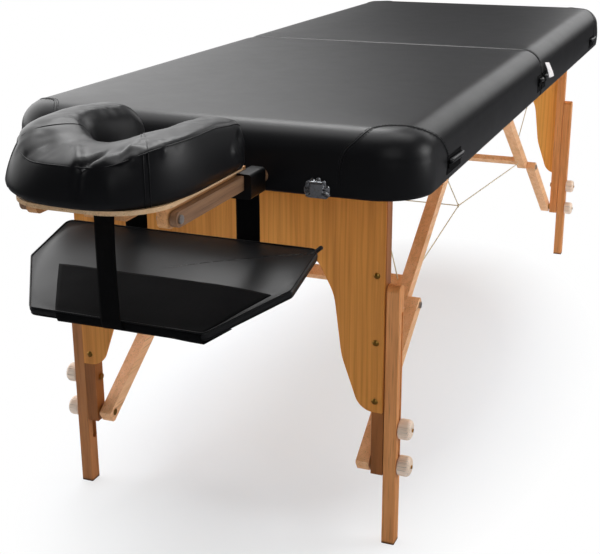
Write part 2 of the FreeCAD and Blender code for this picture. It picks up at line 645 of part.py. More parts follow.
def make_cradle():
    """The base that slides into the head end, and the cushioned top that tilts on it."""
    inner_end = "-half_length + dowel_inside"
    start = "-clamp_rear - 10"
    dowel = rod("dowel", "x", "dowel_radius", f"({inner_end}) - ({start})", start,
                "-dowel_spread", "dowel_height")
    dowel = soften("dowel_round", dowel, "2", lambda e: e.Curve.TypeId == "Part::GeomCircle"
                   and middle(e).x > val(inner_end) - 1)
    sub_part("cradle_dowels", pair("dowels", dowel))

    arm_end = "-clamp_rear - 14"
    low, high = "hinge_z - link_height / 2", "hinge_z + link_height / 2"
    outer = "-dowel_spread - dowel_radius - clamp_wall - 4"
    saddle = block("clamp_saddle", ("-clamp_front", "-clamp_rear"),
                   (outer, "-dowel_spread + dowel_radius + 3"),
                   ("dowel_height - dowel_radius - clamp_wall", "dowel_height + 12.5"))
    cap = block("clamp_cap", ("-clamp_front", "-clamp_rear"), (outer, "-link_inner + 1"),
                ("dowel_height", "dowel_height + dowel_radius + 10"))
    clamp = soften("clamp_round", fuse("clamp_block", saddle, cap), "5",
                   lambda e: runs_along(e, "x") and near(e, y=val(outer)))
    space = block("arm_space", ("-clamp_front - 5", f"{arm_end} + 0.2"),
                  ("-link_inner - link_thick", "-link_inner"), (low, high))
    sub_part("cradle_clamps", pair("clamps", cut("clamp_cut", clamp, dowel, space)))

    link = drawn("link_arm", "XZ_Plane",
                 [("-hinge_x - link_height / 2", low), (arm_end, low), (arm_end, high),
                  ("-hinge_x - link_height / 2", high)], "link_thick", "link_inner")
    front_end = -val("hinge_x + link_height / 2")
    rounded(link, "link_height / 2 - 0.01",
            lambda e: runs_along(e, "y") and near(e, x=front_end))
    far = "link_inner - 2 - rail_width"
    pin = fuse("tilt_bolt", across("tilt_shank", "bolt_radius", "hinge_x", "hinge_z",
                                   f"{far} - 0.2", "link_inner + link_thick + 0.2"),
               across("tilt_head", "6", "hinge_x", "hinge_z", "link_inner + link_thick + 0.2",
                      "link_inner + link_thick + 2.6"),
               across("tilt_nut", "6", "hinge_x", "hinge_z", f"{far} - 4", f"{far} - 0.2"))
    link_bore = across("link_bore", "bolt_radius", "hinge_x", "hinge_z", "link_inner - 1",
                       "link_inner + link_thick + 1")
    sub_part("cradle_links", pair("links", cut("link_cut", link, link_bore)))
    sub_part("cradle_tilt_bolts", pair("tilt_bolts", pin))

    rail = drawn("cradle_rail", "XZ_Plane",
                 [("-hinge_x - 12", "hinge_z - 13"), ("-hinge_x + 16", "hinge_z - 13"),
                  ("-cradle_rear + 16", "plate_level - 9"), ("-cradle_rear + 16", "plate_level"),
                  ("-hinge_x - 12", "plate_level")], "rail_width", far)
    rounded(rail, "10", lambda e: runs_along(e, "y") and near(e, z=val("hinge_z - 13")))
    bore = across("rail_bore", "bolt_radius + running", "hinge_x", "hinge_z",
                  f"{far} - 1", "link_inner")
    anchor = block("strap_block", ("-front_strap + 0.2", "-front_strap + 30"),
                   ("-strap_width / 2 - 13", "strap_width / 2 + 13"),
                   ("plate_level - 32", "plate_level"))
    sub_part("cradle_rails", group("rail_set", pair("rails", cut("rail_cut", rail, bore)), anchor))

    sub_part("cradle_plate", crescent("plate", "plate_level", "plate_level + plate_thick", "8"))
    cushion = crescent("cushion", "plate_level + plate_thick + soft_gap", "plate_level + 110", "0")
    lid = block("cushion_lid", ("-500", "500"), ("-300", "300"), ("0", "200"))
    lid.Placement = Placement(Vector(), Rotation(Vector(0, -1, 0), 1))
    lid.setExpression("Placement.Rotation.Angle", bound("cushion_slope"))
    at(lid, "-cradle_front", "-300", "plate_level + plate_thick + cushion_front")
    cut_cushion = cut("cushion_cut", cushion, lid)
    doc.recompute()
    base = val("plate_level + plate_thick + cushion_front")
    slope = math.tan(math.radians(val("cushion_slope")))
    front = -val("cradle_front")

    def on_top(edge):
        return all(abs(v.Point.z - base - (v.Point.x - front) * slope) < 0.5
                   for v in edge.Vertexes) and middle(edge).z > base - 1

    sub_part("cradle_cushion", soften("cushion_round", cut_cushion, "20", on_top))


def crescent(name, low, high, inset):
    """A horseshoe open towards the table, drawn in by the inset on every side."""
    height = f"({high}) - ({low})"
    slab = block(name + "_slab", (f"-cradle_front + {inset}", f"-cradle_rear - {inset}"),
                 (f"-cradle_half + {inset}", f"cradle_half - {inset}"), (low, high))
    front = -val(f"cradle_front - {inset}")
    solid = soften(name + "_solid", slab, f"cradle_corner - {inset}",
                   lambda e: runs_along(e, "z") and near(e, x=front))
    hole = rod(name + "_hole", "z", f"face_hole + {inset}", f"{height} + 20",
               "-face_centre", "0", f"({low}) - 10")
    slot = block(name + "_slot", ("-face_centre", "-cradle_rear + 30"),
                 (f"-face_hole - {inset}", f"face_hole + {inset}"),
                 (f"({low}) - 10", f"({high}) + 10"))
    return cut(name + "_cut", solid, fuse(name + "_void", hole, slot))


# ---------------------------------------------------------------- the arm shelf

def shelf_turn(obj):
    """Tilt something drawn flat, rear edge at the origin, down towards the front."""
    obj.Placement = Placement(Vector(), Rotation(Vector(0, -1, 0), 1))
    obj.setExpression("Placement.Rotation.Angle", bound("shelf_tilt"))
    return at(obj, "-shelf_rear", "0", "shelf_level")


def make_shelf():
    """A padded board with a cloth sleeve over its front, slung on one strap and two."""
    outline = [("0", "-shelf_half"), ("0", "shelf_half"), ("-shelf_side", "shelf_half"),
               ("-shelf_length", "shelf_nose"), ("-shelf_length", "-shelf_nose"),
               ("-shelf_side", "-shelf_half")]
    board = drawn("shelf_body", "XY_Plane", outline, "shelf_thick")
    rounded(board, "12", lambda e: runs_along(e, "z"))
    thick = val("shelf_thick")
    rounded(board, "5", lambda e: near(e, tolerance=0.01, z=thick))
    shelf_turn(board)
    sub_part("shelf_pad", board)
    cover = drawn("sleeve_body", "XY_Plane",
                  [("-sleeve_start", "-shelf_half + 22"), ("-sleeve_start", "shelf_half - 61"),
                   ("-shelf_length + 8", "shelf_nose - 40"),
                   ("-shelf_length + 8", "-shelf_nose + 4")], "1.5", "shelf_thick + 0.1")
    shelf_turn(cover)
    sub_part("shelf_sleeve", cover)

    half = "strap_width / 2"
    nose = "-(front_strap - shelf_rear) / cos(shelf_tilt)"
    nose_fold = drawn("strap_nose", "XZ_Plane",
                      [(f"{nose} - 1", "-0.7 - strap_thick"), ("-shelf_length + 50", "-0.7 - strap_thick"),
                       ("-shelf_length + 50", "-0.7"), (f"{nose} - 1", "-0.7")],
                      "strap_width", f"-({half})")
    shelf_turn(nose_fold)
    front = block("strap_front", ("-front_strap - strap_thick", "-front_strap"),
                  (f"-({half})", half),
                  ("shelf_level - (front_strap - shelf_rear) * tan(shelf_tilt) - 2.5",
                   "plate_level - 2"))
    heel_fold = drawn("strap_heel", "XZ_Plane",
                      [("-60", "-0.7 - strap_thick"), ("9", "-0.7 - strap_thick"), ("9", "-0.7"),
                       ("-60", "-0.7")], "strap_width", f"strap_spread - {half}")
    shelf_turn(heel_fold)
    rear = block("strap_rear", ("-rear_strap", "-rear_strap + strap_thick"),
                 (f"-strap_spread - {half}", f"-strap_spread + {half}"),
                 ("shelf_level - 1.5", "dowel_height - dowel_radius - 0.2"))
    sub_part("shelf_straps", group("strap_set", fuse("strap_middle", nose_fold, front),
                                   pair("straps", fuse("strap_side", heel_fold, rear))))


make_top()
make_frame_fittings()
make_lugs()
sub_part("latch_bases", group("latch_pair", *make_latches()))
make_legs()
make_braces()
make_cables()
make_cradle()
make_shelf()

# ---------------------------------------------------------------- check and export

doc.recompute()
os.makedirs("parts", exist_ok=True)
faults = [o.Name for o in doc.Objects if {"Invalid", "Error"} & set(o.State)]
if faults:
    raise RuntimeError(f"objects that did not build: {faults}")
for name, obj in PARTS:
    if obj.Shape.isNull() or not obj.Shape.isValid():
        raise RuntimeError(f"bad shape: {name}")
    obj.Shape.exportStep(f"parts/{name}.step")
print(len(PARTS), "sub-parts")
for alias, _ in FOLLOWING:
    print(alias, round(val(alias), 3))
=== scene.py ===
import bpy
import bmesh
import json
import math
from mathutils import Matrix, Vector, noise


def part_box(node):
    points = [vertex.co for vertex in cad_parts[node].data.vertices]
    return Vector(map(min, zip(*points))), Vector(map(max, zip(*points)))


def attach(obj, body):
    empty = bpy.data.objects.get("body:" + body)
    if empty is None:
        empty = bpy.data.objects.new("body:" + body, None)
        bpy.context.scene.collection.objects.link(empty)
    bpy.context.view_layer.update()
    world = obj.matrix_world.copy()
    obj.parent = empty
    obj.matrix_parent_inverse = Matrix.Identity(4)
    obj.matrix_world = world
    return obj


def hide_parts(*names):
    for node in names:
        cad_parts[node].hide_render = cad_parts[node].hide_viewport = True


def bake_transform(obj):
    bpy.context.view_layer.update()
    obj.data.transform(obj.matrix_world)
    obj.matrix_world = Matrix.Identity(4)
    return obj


# Looks of a portable massage table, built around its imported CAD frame.  Metres, +Z up,
# +X from the face cradle to the foot end, -Y the side called right.

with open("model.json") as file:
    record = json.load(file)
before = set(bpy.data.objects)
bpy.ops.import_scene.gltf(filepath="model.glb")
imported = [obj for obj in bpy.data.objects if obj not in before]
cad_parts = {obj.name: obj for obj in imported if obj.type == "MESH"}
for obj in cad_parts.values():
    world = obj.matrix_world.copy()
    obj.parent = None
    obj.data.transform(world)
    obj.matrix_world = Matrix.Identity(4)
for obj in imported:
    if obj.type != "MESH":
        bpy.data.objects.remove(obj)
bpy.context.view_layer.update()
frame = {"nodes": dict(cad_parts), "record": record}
NODES = frame["nodes"]

# ---------------------------------------------------------------- shader helpers


class Shader:
    """A node material with short ways to add and join nodes."""

    def __init__(self, name):
        self.material = bpy.data.materials.new(name)
        self.material.use_nodes = True
        self.tree = self.material.node_tree
        self.tree.nodes.clear()
        self.out = self.add("ShaderNodeOutputMaterial")
        self.bsdf = self.add("ShaderNodeBsdfPrincipled")
        self.join(self.bsdf.outputs["BSDF"], self.out.inputs["Surface"])
        self.place = self.add("ShaderNodeTexCoord").outputs["Object"]

    def add(self, kind, **settings):
        """A new node; a setting that starts with in_ is the value of an input."""
        node = self.tree.nodes.new(kind)
        for key, value in settings.items():
            if key.startswith("in_"):
                node.inputs[key[3:].replace("_", " ")].default_value = value
            else:
                setattr(node, key, value)
        return node

    def join(self, source, target):
        self.tree.links.new(source, target)

    def tint(self, source):
        self.join(source, self.bsdf.inputs["Base Color"])

    def roughen(self, value, low, high):
        """Roughness from low to high along a noise value's usual spread, 0.3 to 0.7."""
        self.join(self.span(value, 0.3, 0.7, low, high), self.bsdf.inputs["Roughness"])

    def set(self, **values):
        for key, value in values.items():
            self.bsdf.inputs[key.replace("_", " ")].default_value = value

    def scaled(self, *scale):
        node = self.add("ShaderNodeMapping", in_Scale=scale)
        self.join(self.place, node.inputs["Vector"])
        return node.outputs["Vector"]

    def noise(self, vector, scale, detail=4.0, rough=0.55, distortion=0.0):
        node = self.add("ShaderNodeTexNoise", in_Scale=scale, in_Detail=detail,
                        in_Roughness=rough, in_Distortion=distortion)
        self.join(vector, node.inputs["Vector"])
        return node.outputs["Fac"]

    def ramp(self, value, *stops):
        """Colours along a value; a stop is (place, hex colour)."""
        node = self.add("ShaderNodeValToRGB")
        ramp = node.color_ramp
        while len(ramp.elements) > 1:
            ramp.elements.remove(ramp.elements[-1])
        ramp.elements[0].position = stops[0][0]
        ramp.elements[0].color = colour(stops[0][1])
        for place, tint in stops[1:]:
            ramp.elements.new(place).color = colour(tint)
        self.join(value, node.inputs["Fac"])
        return node.outputs["Color"]

    def mix(self, factor, one, two, kind="MIX"):
        node = self.add("ShaderNodeMix", data_type="RGBA", blend_type=kind)
        for value, socket in ((factor, 0), (one, 6), (two, 7)):
            if hasattr(value, "is_linked"):
                self.join(value, node.inputs[socket])
            else:
                node.inputs[socket].default_value = value
        return node.outputs[2]

    def span(self, value, low, high, to_low, to_high):
        """A value mapped from one range to another."""
        node = self.add("ShaderNodeMapRange", in_From_Min=low, in_From_Max=high,
                        in_To_Min=to_low, in_To_Max=to_high)
        self.join(value, node.inputs["Value"])
        return node.outputs["Result"]

    def bump(self, *layers):
        """Layers of (height, distance in metres), stacked."""
        last = None
        for height, distance in layers:
            node = self.add("ShaderNodeBump", in_Strength=1.0, in_Distance=distance)
            self.join(height, node.inputs["Height"])
            if last:
                self.join(last, node.inputs["Normal"])
            last = node.outputs["Normal"]
        self.join(last, self.bsdf.inputs["Normal"])


def colour(value):
    """A hex colour as linear RGBA."""
    channels = [int(value[i:i + 2], 16) / 255 for i in (1, 3, 5)]
    return tuple(c / 12.92 if c < 0.04045 else ((c + 0.055) / 1.055) ** 2.4
                 for c in channels) + (1.0,)


def wood(name, light, mid, dark, along, grain=1.0, gloss=0.42):
    """Straight-grained wood; along is the axis that the grain follows."""
    s = Shader(name)

    def across(scale, share):
        """Coordinates at a scale across the grain, and at a share of it along the grain."""
        return s.scaled(*[scale * share if axis == along else scale for axis in "xyz"])

    broad = s.noise(across(9 * grain, 0.06), 1.0, 3, 0.5, 0.4)
    streak = s.noise(across(90 * grain, 0.06), 1.0, 5, 0.6, 0.1)
    pore = s.noise(across(700, 0.02), 1.0, 2, 0.5)
    base = s.ramp(broad, (0.3, dark), (0.5, mid), (0.72, light))
    streaks = s.ramp(streak, (0.32, dark), (0.5, mid), (0.7, light))
    tint = s.mix(0.55, base, streaks)
    pores = s.ramp(pore, (0.3, "#8A8A8A"), (0.42, "#FFFFFF"))
    # Painted contact shadow: the wood darkens within a few millimetres of the floor, at the
    # legs' soles.
    axes = s.add("ShaderNodeSeparateXYZ")
    s.join(s.place, axes.inputs["Vector"])
    painted_contact_shade = s.ramp(s.span(axes.outputs["Z"], 0.0, 0.01, 0.0, 1.0), (0.1, "#62564B"),
                  (0.5, "#FFFFFF"))
    s.tint(s.mix(1.0, s.mix(0.6, tint, pores, "MULTIPLY"), painted_contact_shade, "MULTIPLY"))
    s.roughen(streak, gloss + 0.08, gloss - 0.06)
    s.bump((streak, 0.00012), (pore, 0.00008))
    s.set(Coat_Weight=0.05, Coat_Roughness=0.3, Specular_IOR_Level=0.3)
    return s.material


def veneer(name, light, mid, dark):
    """A printed wood veneer: upright figure crossed by fine, evenly spaced darker lines."""
    s = Shader(name)
    figure = s.noise(s.scaled(14, 14, 0.9), 1.0, 4, 0.55, 0.5)
    streak = s.noise(s.scaled(150, 150, 3.0), 1.0, 4, 0.6)
    lines = s.add("ShaderNodeTexWave", wave_type="BANDS", bands_direction="Y", in_Scale=34,
                  in_Distortion=4.5, in_Detail_Scale=1.4)
    s.join(s.scaled(0.0, 1.0, 0.12), lines.inputs["Vector"])
    tint = s.mix(0.5, s.ramp(figure, (0.3, dark), (0.5, mid), (0.7, light)),
                 s.ramp(streak, (0.3, dark), (0.5, mid), (0.7, light)))
    seams = s.ramp(lines.outputs["Fac"], (0.0, "#EAE2D5"), (0.4, "#FFFFFF"))
    s.tint(s.mix(0.55, tint, seams, "MULTIPLY"))
    s.roughen(streak, 0.46, 0.36)
    s.bump((streak, 0.00008))
    s.set(Specular_IOR_Level=0.3)
    return s.material


def vinyl(name, tone, light, rough, crease, shine):
    """Upholstery vinyl: a fine pebbled grain over a soft, even sheen."""
    s = Shader(name)
    cell = s.add("ShaderNodeTexVoronoi", in_Scale=700)
    s.join(s.place, cell.inputs["Vector"])
    pebbles = s.span(cell.outputs["Distance"], 0.0, 0.8, 0.0, 1.0)
    pull = s.noise(s.place, 22, 4, 0.55, 0.4)
    broad = s.noise(s.place, 3.2, 3, 0.5)
    s.tint(s.ramp(broad, (0.3, tone), (0.7, light)))
    s.roughen(pull, rough - 0.01, rough + 0.015)
    s.bump((pebbles, 0.00002), (pull, crease))
    s.set(Specular_IOR_Level=shine, IOR=1.5)
    return s.material


def cloth(name, tone, light, threads):
    """A plain weave; threads is the scale of its two sets of bands."""
    s = Shader(name)
    rows, columns = [
        s.add("ShaderNodeTexWave", wave_type="BANDS", bands_direction=way, in_Scale=threads,
              in_Distortion=0.6) for way in "XY"]
    for bands in (rows, columns):
        s.join(s.place, bands.inputs["Vector"])
    weave = s.mix(0.5, rows.outputs["Fac"], columns.outputs["Fac"])
    fuzz = s.noise(s.place, 260, 4, 0.6)
    s.tint(s.ramp(fuzz, (0.3, tone), (0.72, light)))
    s.bump((weave, 0.00012), (fuzz, 0.0001))
    s.set(Roughness=0.9, Specular_IOR_Level=0.12)
    return s.material


def metal(name, tone, rough, dents=0.00005, wear_scale=45):
    """Metal with a fine upright brushing, and worn or dented as deep as dents says."""
    s = Shader(name)
    grain = s.noise(s.scaled(60, 60, 600), 1.0, 3)
    wear = s.noise(s.place, wear_scale, 4)
    s.roughen(grain, rough, rough + 0.08)
    s.bump((wear, dents))
    s.set(Metallic=1.0, Base_Color=colour(tone))
    return s.material


def plastic(name, tone, rough):
    """A plain, dull surface with a fine grain."""
    s = Shader(name)
    s.bump((s.noise(s.place, 900, 3), 0.00006))
    s.set(Roughness=rough, Specular_IOR_Level=0.25, Base_Color=colour(tone))
    return s.material


MATERIALS = {name: make(name, *look) for name, make, *look in (
    ("black_vinyl", vinyl, "#101012", "#141416", 0.38, 0.00003, 0.2),
    ("cushion_vinyl", vinyl, "#0D0D0F", "#131315", 0.36, 0.00002, 0.18),
    ("shelf_vinyl", vinyl, "#0E0E10", "#131315", 0.38, 0.00003, 0.34),
    ("veneer", veneer, "#EEA34B", "#DE913B", "#BE772C"),
    # Painted light: a lighter copy of the veneer, for the foot panel.
    ("painted_light_foot_veneer", veneer, "#FFC264", "#F6B052", "#D4903B"),
    ("plywood", wood, "#DDBD97", "#CFA77C", "#B08A60", "x"),
    ("strut_wood", wood, "#FFD0A2", "#F4B987", "#D9A06A", "x", 1.0, 0.38),
    ("beech", wood, "#F8B070", "#E69B5C", "#C68043", "z", 0.8, 0.38),
    # Painted shade: a darker copy of beech, for the fixed head legs.
    ("painted_shade_leg_wood", wood, "#B26E38", "#9E5E2A", "#7E4A1D", "z", 0.8, 0.38),
    # Painted shade: a darker copy of beech, for the left head extension.
    ("painted_shade_beech", wood, "#D08E56", "#BE7A46", "#A06631", "z", 0.8, 0.38),
    ("beech_x", wood, "#CF9560", "#BC7F4A", "#9C6434", "x", 0.8, 0.38),
    ("beech_y", wood, "#CF9560", "#BC7F4A", "#9C6434", "y", 0.8, 0.38),
    ("cradle_wood", wood, "#98765A", "#826046", "#644735", "x", 1.2, 0.36),
    ("rail_wood", wood, "#E0A874", "#CC9460", "#A87648", "x", 1.2, 0.38),
    ("pale_beech", wood, "#FBE9D8", "#F5DBC4", "#E2C3A5", "y", 1.2, 0.4),
    ("black_plastic", plastic, "#070708", 0.38),
    ("thread", plastic, "#202023", 0.6),
    ("cable", plastic, "#D2C4A2", 0.5),
    ("zinc_steel", metal, "#A8A9AB", 0.32),
    ("brass_fixings", metal, "#B98D45", 0.28),
    ("crinkled_chrome", metal, "#BEC0C4", 0.10, 0.0011, 160),
    ("black_webbing", cloth, "#040405", "#08080A", 150),
    ("white_label", cloth, "#DAD4D2", "#F1ECEA", 700 / 6),
)}
# Nodes with a finish other than their slot's, by a part of their names. The darker copies of
# beech on the head legs and the left head extension are painted shade, and the lighter veneer on
# the foot panel is painted light.
OWN_FINISH = {
    "cradle_dowels": "cradle_wood", "cradle_links": "cradle_wood", "cradle_rails": "rail_wood",
    "latch": "crinkled_chrome", "head_leg_left": "painted_shade_leg_wood", "head_leg_right": "painted_shade_leg_wood",
    "head_ext_left": "painted_shade_beech", "foot_panel": "painted_light_foot_veneer", "side_rails": "beech_x",
    "cross_rails": "beech_y"}


def ease_edges(obj, width, segments):
    """Round the sharp edges of a CAD node, by a modifier only."""
    edge = obj.modifiers.new("eased", "BEVEL")
    edge.width = width
    edge.segments = segments
    edge.limit_method = "ANGLE"
    edge.angle_limit = math.radians(40)
    return edge


def finish_nodes():
    """Give each CAD node its material, and the wooden ones their eased edges."""
    slots = {entry["node"]: entry["material_slot"] for entry in frame["record"]["subparts"]}
    for name, obj in NODES.items():
        slot = slots[name]
        finish = next((own for part, own in OWN_FINISH.items() if part in name), slot)
        obj.data.materials.clear()
        obj.data.materials.append(MATERIALS[finish])
        for face in obj.data.polygons:
            face.use_smooth = True
        if slot in ("beech", "strut_wood", "veneer", "plywood", "pale_beech"):
            ease_edges(obj, 0.0012, 2).harden_normals = True
    ease_edges(NODES["cradle_clamps"], 0.008, 5)


finish_nodes()

# ---------------------------------------------------------------- mesh helpers


def link(name, data, material, body=None):
    """A new object with a material by name; it rides on a body if one is given."""
    obj = bpy.data.objects.new(name, data)
    bpy.context.collection.objects.link(obj)
    data.materials.append(MATERIALS[material])
    if body:
        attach(obj, body)
    return obj


def mesh_of(name, points, faces, outward=True):
    """A smooth-shaded mesh; outward turns its faces to the outside."""
    data = bpy.data.meshes.new(name)
    data.from_pydata([tuple(p) for p in points], [], faces)
    data.validate()
    data.update()
    for face in data.polygons:
        face.use_smooth = True
    if outward:
        bm = bmesh.new()
        bm.from_mesh(data)
        bmesh.ops.recalc_face_normals(bm, faces=bm.faces)
        bm.to_mesh(data)
        bm.free()
        data.update()
    return data


def grid_faces(rows, columns, wrap=False, start=0):
    """Quads over a grid of points, joined around each row if it wraps."""
    faces = []
    for r in range(rows - 1):
        for c in range(columns if wrap else columns - 1):
            a = start + r * columns + c
            b = start + r * columns + (c + 1) % columns
            faces.append((a, b, b + columns, a + columns))
    return faces


def tube_faces(rows, size, start=0):
    """Faces of a closed tube of rings, each of so many points, with both ends capped."""
    last = start + (rows - 1) * size
    return grid_faces(rows, size, wrap=True, start=start) + [
        tuple(range(start, start + size))[::-1], tuple(range(last, last + size))]


def thicken(obj, thickness, offset=-1.0):
    skin = obj.modifiers.new("thickness", "SOLIDIFY")
    skin.thickness = thickness
    skin.offset = offset


def ripple(p, scale, seed):
    """Smooth noise from -1 to 1 at a point."""
    return noise.noise(Vector(p) * scale + Vector((seed * 7.3, seed * 3.1, seed * 1.7)))


def soft_step(t):
    """From 0 to 1 with level ends."""
    t = min(1.0, max(0.0, t))
    return t * t * (3 - 2 * t)


def tube_along(name, points, radius, material, body, roundness=2, closed=False):
    """A round line through points, as a mesh."""
    curve = bpy.data.curves.new(name + "_line", "CURVE")
    curve.dimensions = "3D"
    spline = curve.splines.new("NURBS")
    spline.points.add(len(points) - 1)
    for knot, p in zip(spline.points, points):
        knot.co = (*p, 1)
    spline.order_u = 3
    spline.use_endpoint_u = not closed
    spline.use_cyclic_u = closed
    spline.resolution_u = 6
    curve.bevel_depth = radius
    curve.bevel_resolution = roundness
    curve.use_fill_caps = True
    holder = bpy.data.objects.new(name + "_holder", curve)
    bpy.context.collection.objects.link(holder)
    bpy.context.view_layer.update()
    data = bpy.data.meshes.new_from_object(holder)
    data.name = name
    bpy.data.objects.remove(holder)
    for face in data.polygons:
        face.use_smooth = True
    data.materials.clear()
    return link(name, data, material, body)


def smooth_path(knots, per=8):
    """Points along a smooth line through the knots."""
    knots = [Vector(k) for k in knots]
    line = []
    for n in range(len(knots) - 1):
        a, b = knots[max(n - 1, 0)], knots[n]
        c, d = knots[n + 1], knots[min(n + 2, len(knots) - 1)]
        for k in range(per):
            t = k / per
            line.append(0.5 * (b * 2 + (c - a) * t + (a * 2 - b * 5 + c * 4 - d) * t * t
                               + (b * 3 - a - c * 3 + d) * t ** 3))
    line.append(knots[-1])
    return line


# ---------------------------------------------------------------- the upholstered top

HEAD_PAD, FOOT_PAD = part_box("head_pad"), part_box("foot_pad")
END, FOLD, FAR_END = HEAD_PAD[0][0], HEAD_PAD[1][0], FOOT_PAD[1][0]
WIDE, SKIN_TOP = HEAD_PAD[1][1:]
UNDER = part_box("head_skirt")[0][2]
PLAN, FOLD_PLAN = 0.080, 0.010  # corner radii seen from above: outer end, and by the fold
ROUND, FOLD_ROUND = 0.042, 0.008  # radii of the upper edges, and of the one by the fold
CROWN, CROWN_REACH = 0.0045, 0.16  # how far the middle swells, and within what distance
SETTLE = 0.0035  # how far the skin without its crown lies under the pad's box
BULGE, WAVE = 0.0022, 0.0009  # how far the sides swell, and how uneven they are


def grid_stops(low, high, steps):
    """Even stops from low to high, crowded near both ends."""
    edge = [0, 0.0006, 0.0022, 0.005, 0.009, 0.014, 0.020, 0.027, 0.034, 0.042, 0.052, 0.065,
            0.080]
    inner = [low + edge[-1] + (high - low - 2 * edge[-1]) * n / steps for n in range(1, steps)]
    return [low + d for d in edge] + inner + [high - d for d in reversed(edge)]


def corner_fold(x, y, radius, cx, cy):
    """Move a point of a square corner onto a round one centred at cx, cy."""
    a = min(1.0, abs(x - cx) / radius)
    b = min(1.0, abs(y - cy) / radius)
    sx = 1 if x > cx else -1
    sy = 1 if y > cy else -1
    return (cx + sx * radius * a * math.sqrt(1 - b * b / 2),
            cy + sy * radius * b * math.sqrt(1 - a * a / 2))


def rounding(away, radius):
    """How far a rounded edge has dropped at a distance in from it."""
    return 0.0 if away >= radius else radius - math.sqrt(radius ** 2 - (radius - away) ** 2)


def cover_point(x, y, length, seed):
    """A point of the top skin, from its place on a flat, square grid."""
    px, py = x, y
    outer = min(x, WIDE - abs(y))
    if x < PLAN and abs(y) > WIDE - PLAN:
        px, py = corner_fold(x, y, PLAN, PLAN, math.copysign(WIDE - PLAN, y))
        outer = PLAN - math.hypot(px - PLAN, abs(py) - WIDE + PLAN)
    elif length - x < FOLD_PLAN and abs(y) > WIDE - FOLD_PLAN:
        px, py = corner_fold(x, y, FOLD_PLAN, length - FOLD_PLAN,
                             math.copysign(WIDE - FOLD_PLAN, y))
        outer = WIDE - abs(py)
    outer = max(0.0, outer)
    drop = rounding(outer, ROUND)
    drop += rounding(max(0.0, length - px), FOLD_ROUND) * (1 - min(1, drop / ROUND))
    away = max(0.0, min(outer, length - px))
    crown = CROWN * (1 - (1 - min(1.0, away / CROWN_REACH)) ** 2)
    dent = 0.0007 * ripple((px, py, 0), 3.0, seed) * min(1, away / 0.05)
    return [px, py, SKIN_TOP - SETTLE - drop + crown + dent]


def top_cover(half):
    """The vinyl over one half: a crowned top, rounded edges, and sides down to the frame."""
    length = FOLD - END
    xs, ys = grid_stops(0, length, 34), grid_stops(-WIDE, WIDE, 30)
    nx, ny = len(xs), len(ys)
    points = [cover_point(x, y, length, 2 if half == "head" else 5) for x in xs for y in ys]
    faces = grid_faces(nx, ny)
    rim = [i * ny for i in range(nx)] + [(nx - 1) * ny + j for j in range(1, ny)]
    rim += [i * ny + ny - 1 for i in range(nx - 2, -1, -1)] + list(range(ny - 2, 0, -1))
    edge = [points[i] for i in rim]
    count, base, levels = len(rim), len(points), 16
    normals = []
    for before, after in zip(edge[-1:] + edge, edge[1:] + edge[:1]):
        normals.append(Vector((after[1] - before[1], before[0] - after[0], 0)).normalized())

    def hem(p, normal, out, z):
        points.append([p[0] + normal.x * out, p[1] + normal.y * out, z])

    for level in range(1, levels + 1):
        share = level / levels
        for p, normal in zip(edge, normals):
            z = p[2] + (UNDER - p[2]) * share
            arch = math.sin(math.pi * share)
            out = BULGE * arch ** 0.8 + WAVE * ripple((p[0], p[1], z * 3), 9.0, 4) * arch
            if p[0] > length - 0.004:  # flat where the halves meet
                out = min(out, 0) * 0.2
            if level == levels:
                out = -0.0018
            hem(p, normal, out, z)
    for out, below in ((-0.0045, 0.0006), (-0.012, 0.0007)):
        for p, normal in zip(edge, normals):
            hem(p, normal, out, UNDER - below)
    for n in range(count):
        m = (n + 1) % count
        faces.append((rim[n], base + n, base + m, rim[m]))
    for a in range(base, base + (levels + 1) * count, count):
        for n in range(count):
            m = (n + 1) % count
            faces.append((a + n, a + count + n, a + count + m, a + m))
    if half == "head":
        points = [(END + x, y, z) for x, y, z in points]
        faces = [f[::-1] for f in faces]
    else:
        points = [(FAR_END - x, y, z) for x, y, z in points]
    cover = link(half + "_cover", mesh_of(half + "_cover", points, faces), "black_vinyl",
                 half + "_frame")
    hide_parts(half + "_pad", half + "_skirt")
    return cover


COVERS = {half: top_cover(half) for half in ("head", "foot")}

# ---------------------------------------------------------------- the face cushion

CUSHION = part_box("cradle_cushion")
FRONT, REAR = CUSHION[0][0], CUSHION[1][0]
HALF, SOLE = CUSHION[1][1], CUSHION[0][2]
REACH, FACE = 0.170, 0.050  # from the opening's centre to the front, and its own radius
CENTRE = FRONT + REACH
ARM = 0.24  # share of the crescent's run that each arm takes
BLUNT = 0.74  # under 1 it squares off the round front
OVERHANG = 0.015
TUCK = 0.0045  # how far the outer seam lies in from the sole's edge
ROLL, SINK = 0.024, 0.022  # width and depth of the rounding into the opening
# Points along the stretches of a cross-section.
SOLE_STEPS, WALL_STEPS, TOP_STEPS, THROAT_STEPS = 8, 14, 34, 10


def rim_points(t):
    """Inner and outer edge of the crescent, t from 0 (left arm) through the front to 1,
    then the share of the way along an arm, and how far toward a side the place lies."""
    if ARM < t < 1 - ARM:
        turn = math.pi * (0.5 + (t - ARM) / (1 - 2 * ARM))
        c, s = math.cos(turn), math.sin(turn)
        outer = (CENTRE + math.copysign(abs(c) ** BLUNT, c) * REACH,
                 math.copysign(abs(s) ** BLUNT, s) * HALF)
        return (CENTRE + c * FACE, s * FACE), outer, 0.0, abs(s)
    side = 1 if t <= ARM else -1
    along = (ARM - t) / ARM if side > 0 else (t - 1 + ARM) / ARM
    x = CENTRE + (REAR - CENTRE) * along
    left = REAR - x
    corner, inside = 0.030, 0.014
    cut = corner - math.sqrt(corner ** 2 - max(0, corner - left) ** 2)
    cut_in = inside - math.sqrt(inside ** 2 - max(0, inside - left) ** 2)
    gap = FACE - 0.011 * soft_step(along)
    return (x, side * (gap + cut_in)), (x, side * (HALF - cut)), along, 1.0


